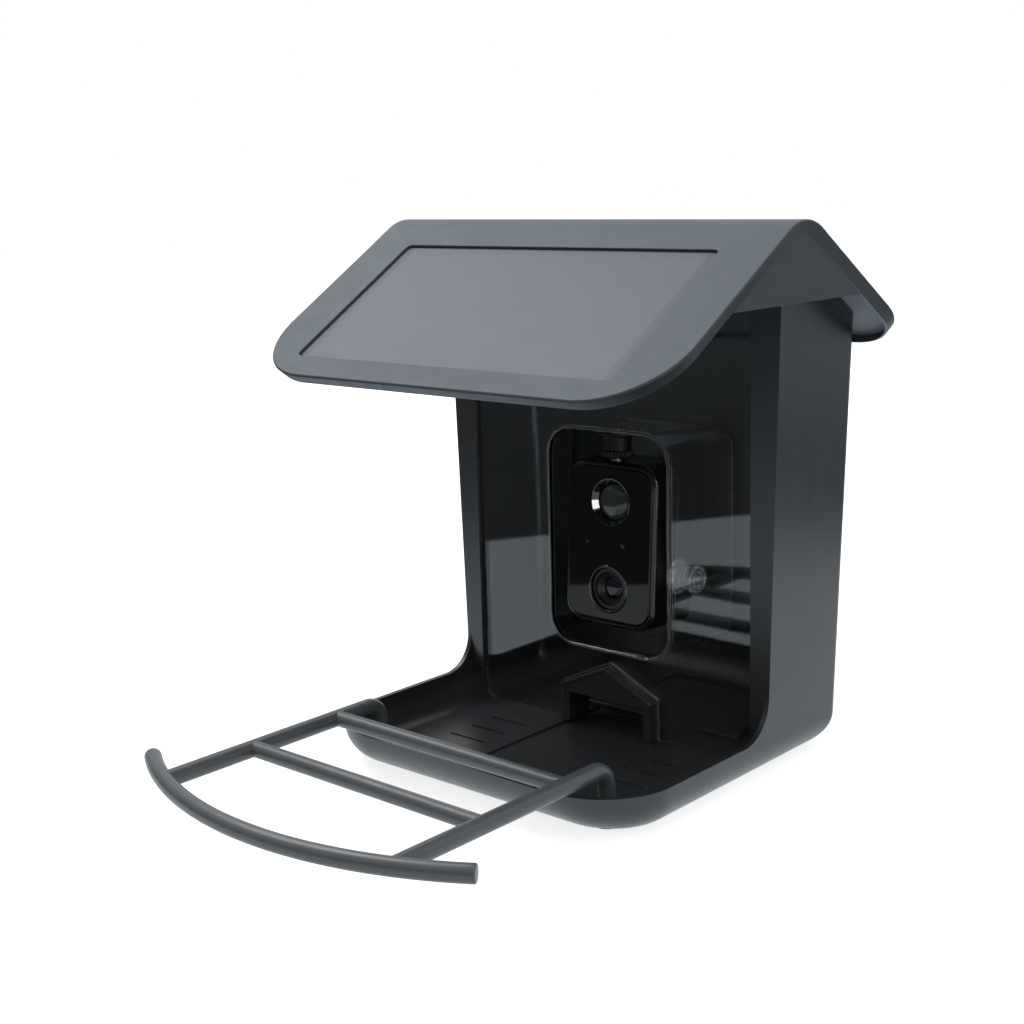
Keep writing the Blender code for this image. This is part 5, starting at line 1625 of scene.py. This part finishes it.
def make_floor():
    paint, tree, shader = new_material("floor_white")
    shader.inputs["Roughness"].default_value = 0.95
    shader.inputs["Specular IOR Level"].default_value = 0.0
    place = coordinates(tree)
    length = add(tree, "ShaderNodeVectorMath", place, operation="LENGTH").outputs["Value"]
    along = add(tree, "ShaderNodeSeparateXYZ", place).outputs["Y"]
    across = dot(tree, place, (-cos(table_turn), -sin(table_turn), 0))
    left_of_table = ranged(tree, across, 0, 1, table_left - table_soft, table_left + table_soft)
    rear_side = ranged(tree, along, 0, 1, -0.1, 0.1)
    past = ranged(tree, length, 0, 1, table_rear, table_rear + 0.1)
    far = calculated(tree, "MAXIMUM", left_of_table, times(tree, rear_side, past))
    behind = times(tree, ranged(tree, along, 0, 1, -0.1, 0.4), ranged(tree, length, 0.04, 0.50, 0.6, 1.3))
    behind = calculated(tree, "MAXIMUM", behind, least_mirrored)
    direct, glossy = kinds_of_ray(tree)
    tone = mixed(tree, direct, mixed(tree, noise(tree, 600), *light_grey), white)
    feed(mixed(tree, glossy, tone, (0.0, 0.0, 0.0)), shader.inputs["Base Color"])
    mirrored = calculated(tree, "ADD", times(tree, far, calculated(tree, "SUBTRACT", behind, 1)), 1)
    away = ranged(tree, length, 0.78, 1, 0.3, 1.0)
    shown = calculated(tree, "ADD", times(tree, direct, away), times(tree, glossy, mirrored))
    feed(mixed(tree, glossy, (1.0, 1.0, 1.0), mirror_tint), shader.inputs["Emission Color"])
    feed(shown, shader.inputs["Emission Strength"])
    bm = bmesh.new()
    bmesh.ops.create_circle(bm, cap_ends=True, segments=96, radius=table_radius)
    floor = from_bmesh("floor", bm, paint)
    floor.location.z = -table_drop


def make_world():
    """A bright ceiling, a pale wall behind and a dark room in front."""
    world = bpy.data.worlds.new("studio")
    bpy.context.scene.world = world
    world.use_nodes = True
    tree = world.node_tree
    parts = parts_of(tree, "Generated")
    high = ranged(tree, parts["Z"], 0, 1, 0.1, 0.8)
    level = times(tree, ranged(tree, parts["Y"], 0.09, 0.80, -0.2, 0.8), one_less(tree, high))
    level = calculated(tree, "ADD", level, times(tree, high, ceiling_level))
    level = calculated(tree, "MAXIMUM", kinds_of_ray(tree)[0], level)
    back = tree.nodes["Background"]
    feed(level, back.inputs["Strength"])
    back.inputs["Color"].default_value = (1, 1, 1, 1)


def softbox(name, place, target, size, power):
    data = bpy.data.lights.new(name, "AREA")
    data.shape = "RECTANGLE"
    data.size, data.size_y = size
    data.energy = power
    made = in_scene(name, data)
    made.location = place
    made.rotation_euler = (Vector(place) - Vector(target)).to_track_quat("Z", "Y").to_euler()
    return made


make_floor()
make_world()
softbox("key", (-0.8, -0.1, 1.35), (0, 0, 0.15), (0.9, 0.9), 8.5)
strip = softbox("low_right", (0.80, -0.26, 0.28), (0, 0, 0.14), (0.06, 0.60), 1.8)
strip.visible_diffuse = False

# The photograph's camera
camera_place = (0.48652, -0.61068, 0.28576)
azimuth, elevation, roll = radians(41.926), radians(12.091), radians(-1.599)
back_way = Vector((sin(azimuth) * cos(elevation), -cos(azimuth) * cos(elevation), sin(elevation)))
level = Vector((cos(azimuth), sin(azimuth), 0))
up = back_way.cross(level)
right_way = level * cos(roll) + up * sin(roll)
up_way = up * cos(roll) - level * sin(roll)
lens_data = bpy.data.cameras.new("camera")
lens_data.lens = 56.27
lens_data.sensor_width = 36
lens_data.sensor_fit = "HORIZONTAL"
lens_data.clip_start = 0.01
camera = in_scene("camera", lens_data)
camera.matrix_world = at(*camera_place) @ Matrix((right_way, up_way, back_way)).transposed().to_4x4()
bpy.context.scene.camera = camera
bpy.context.scene.view_settings.view_transform = "Standard"
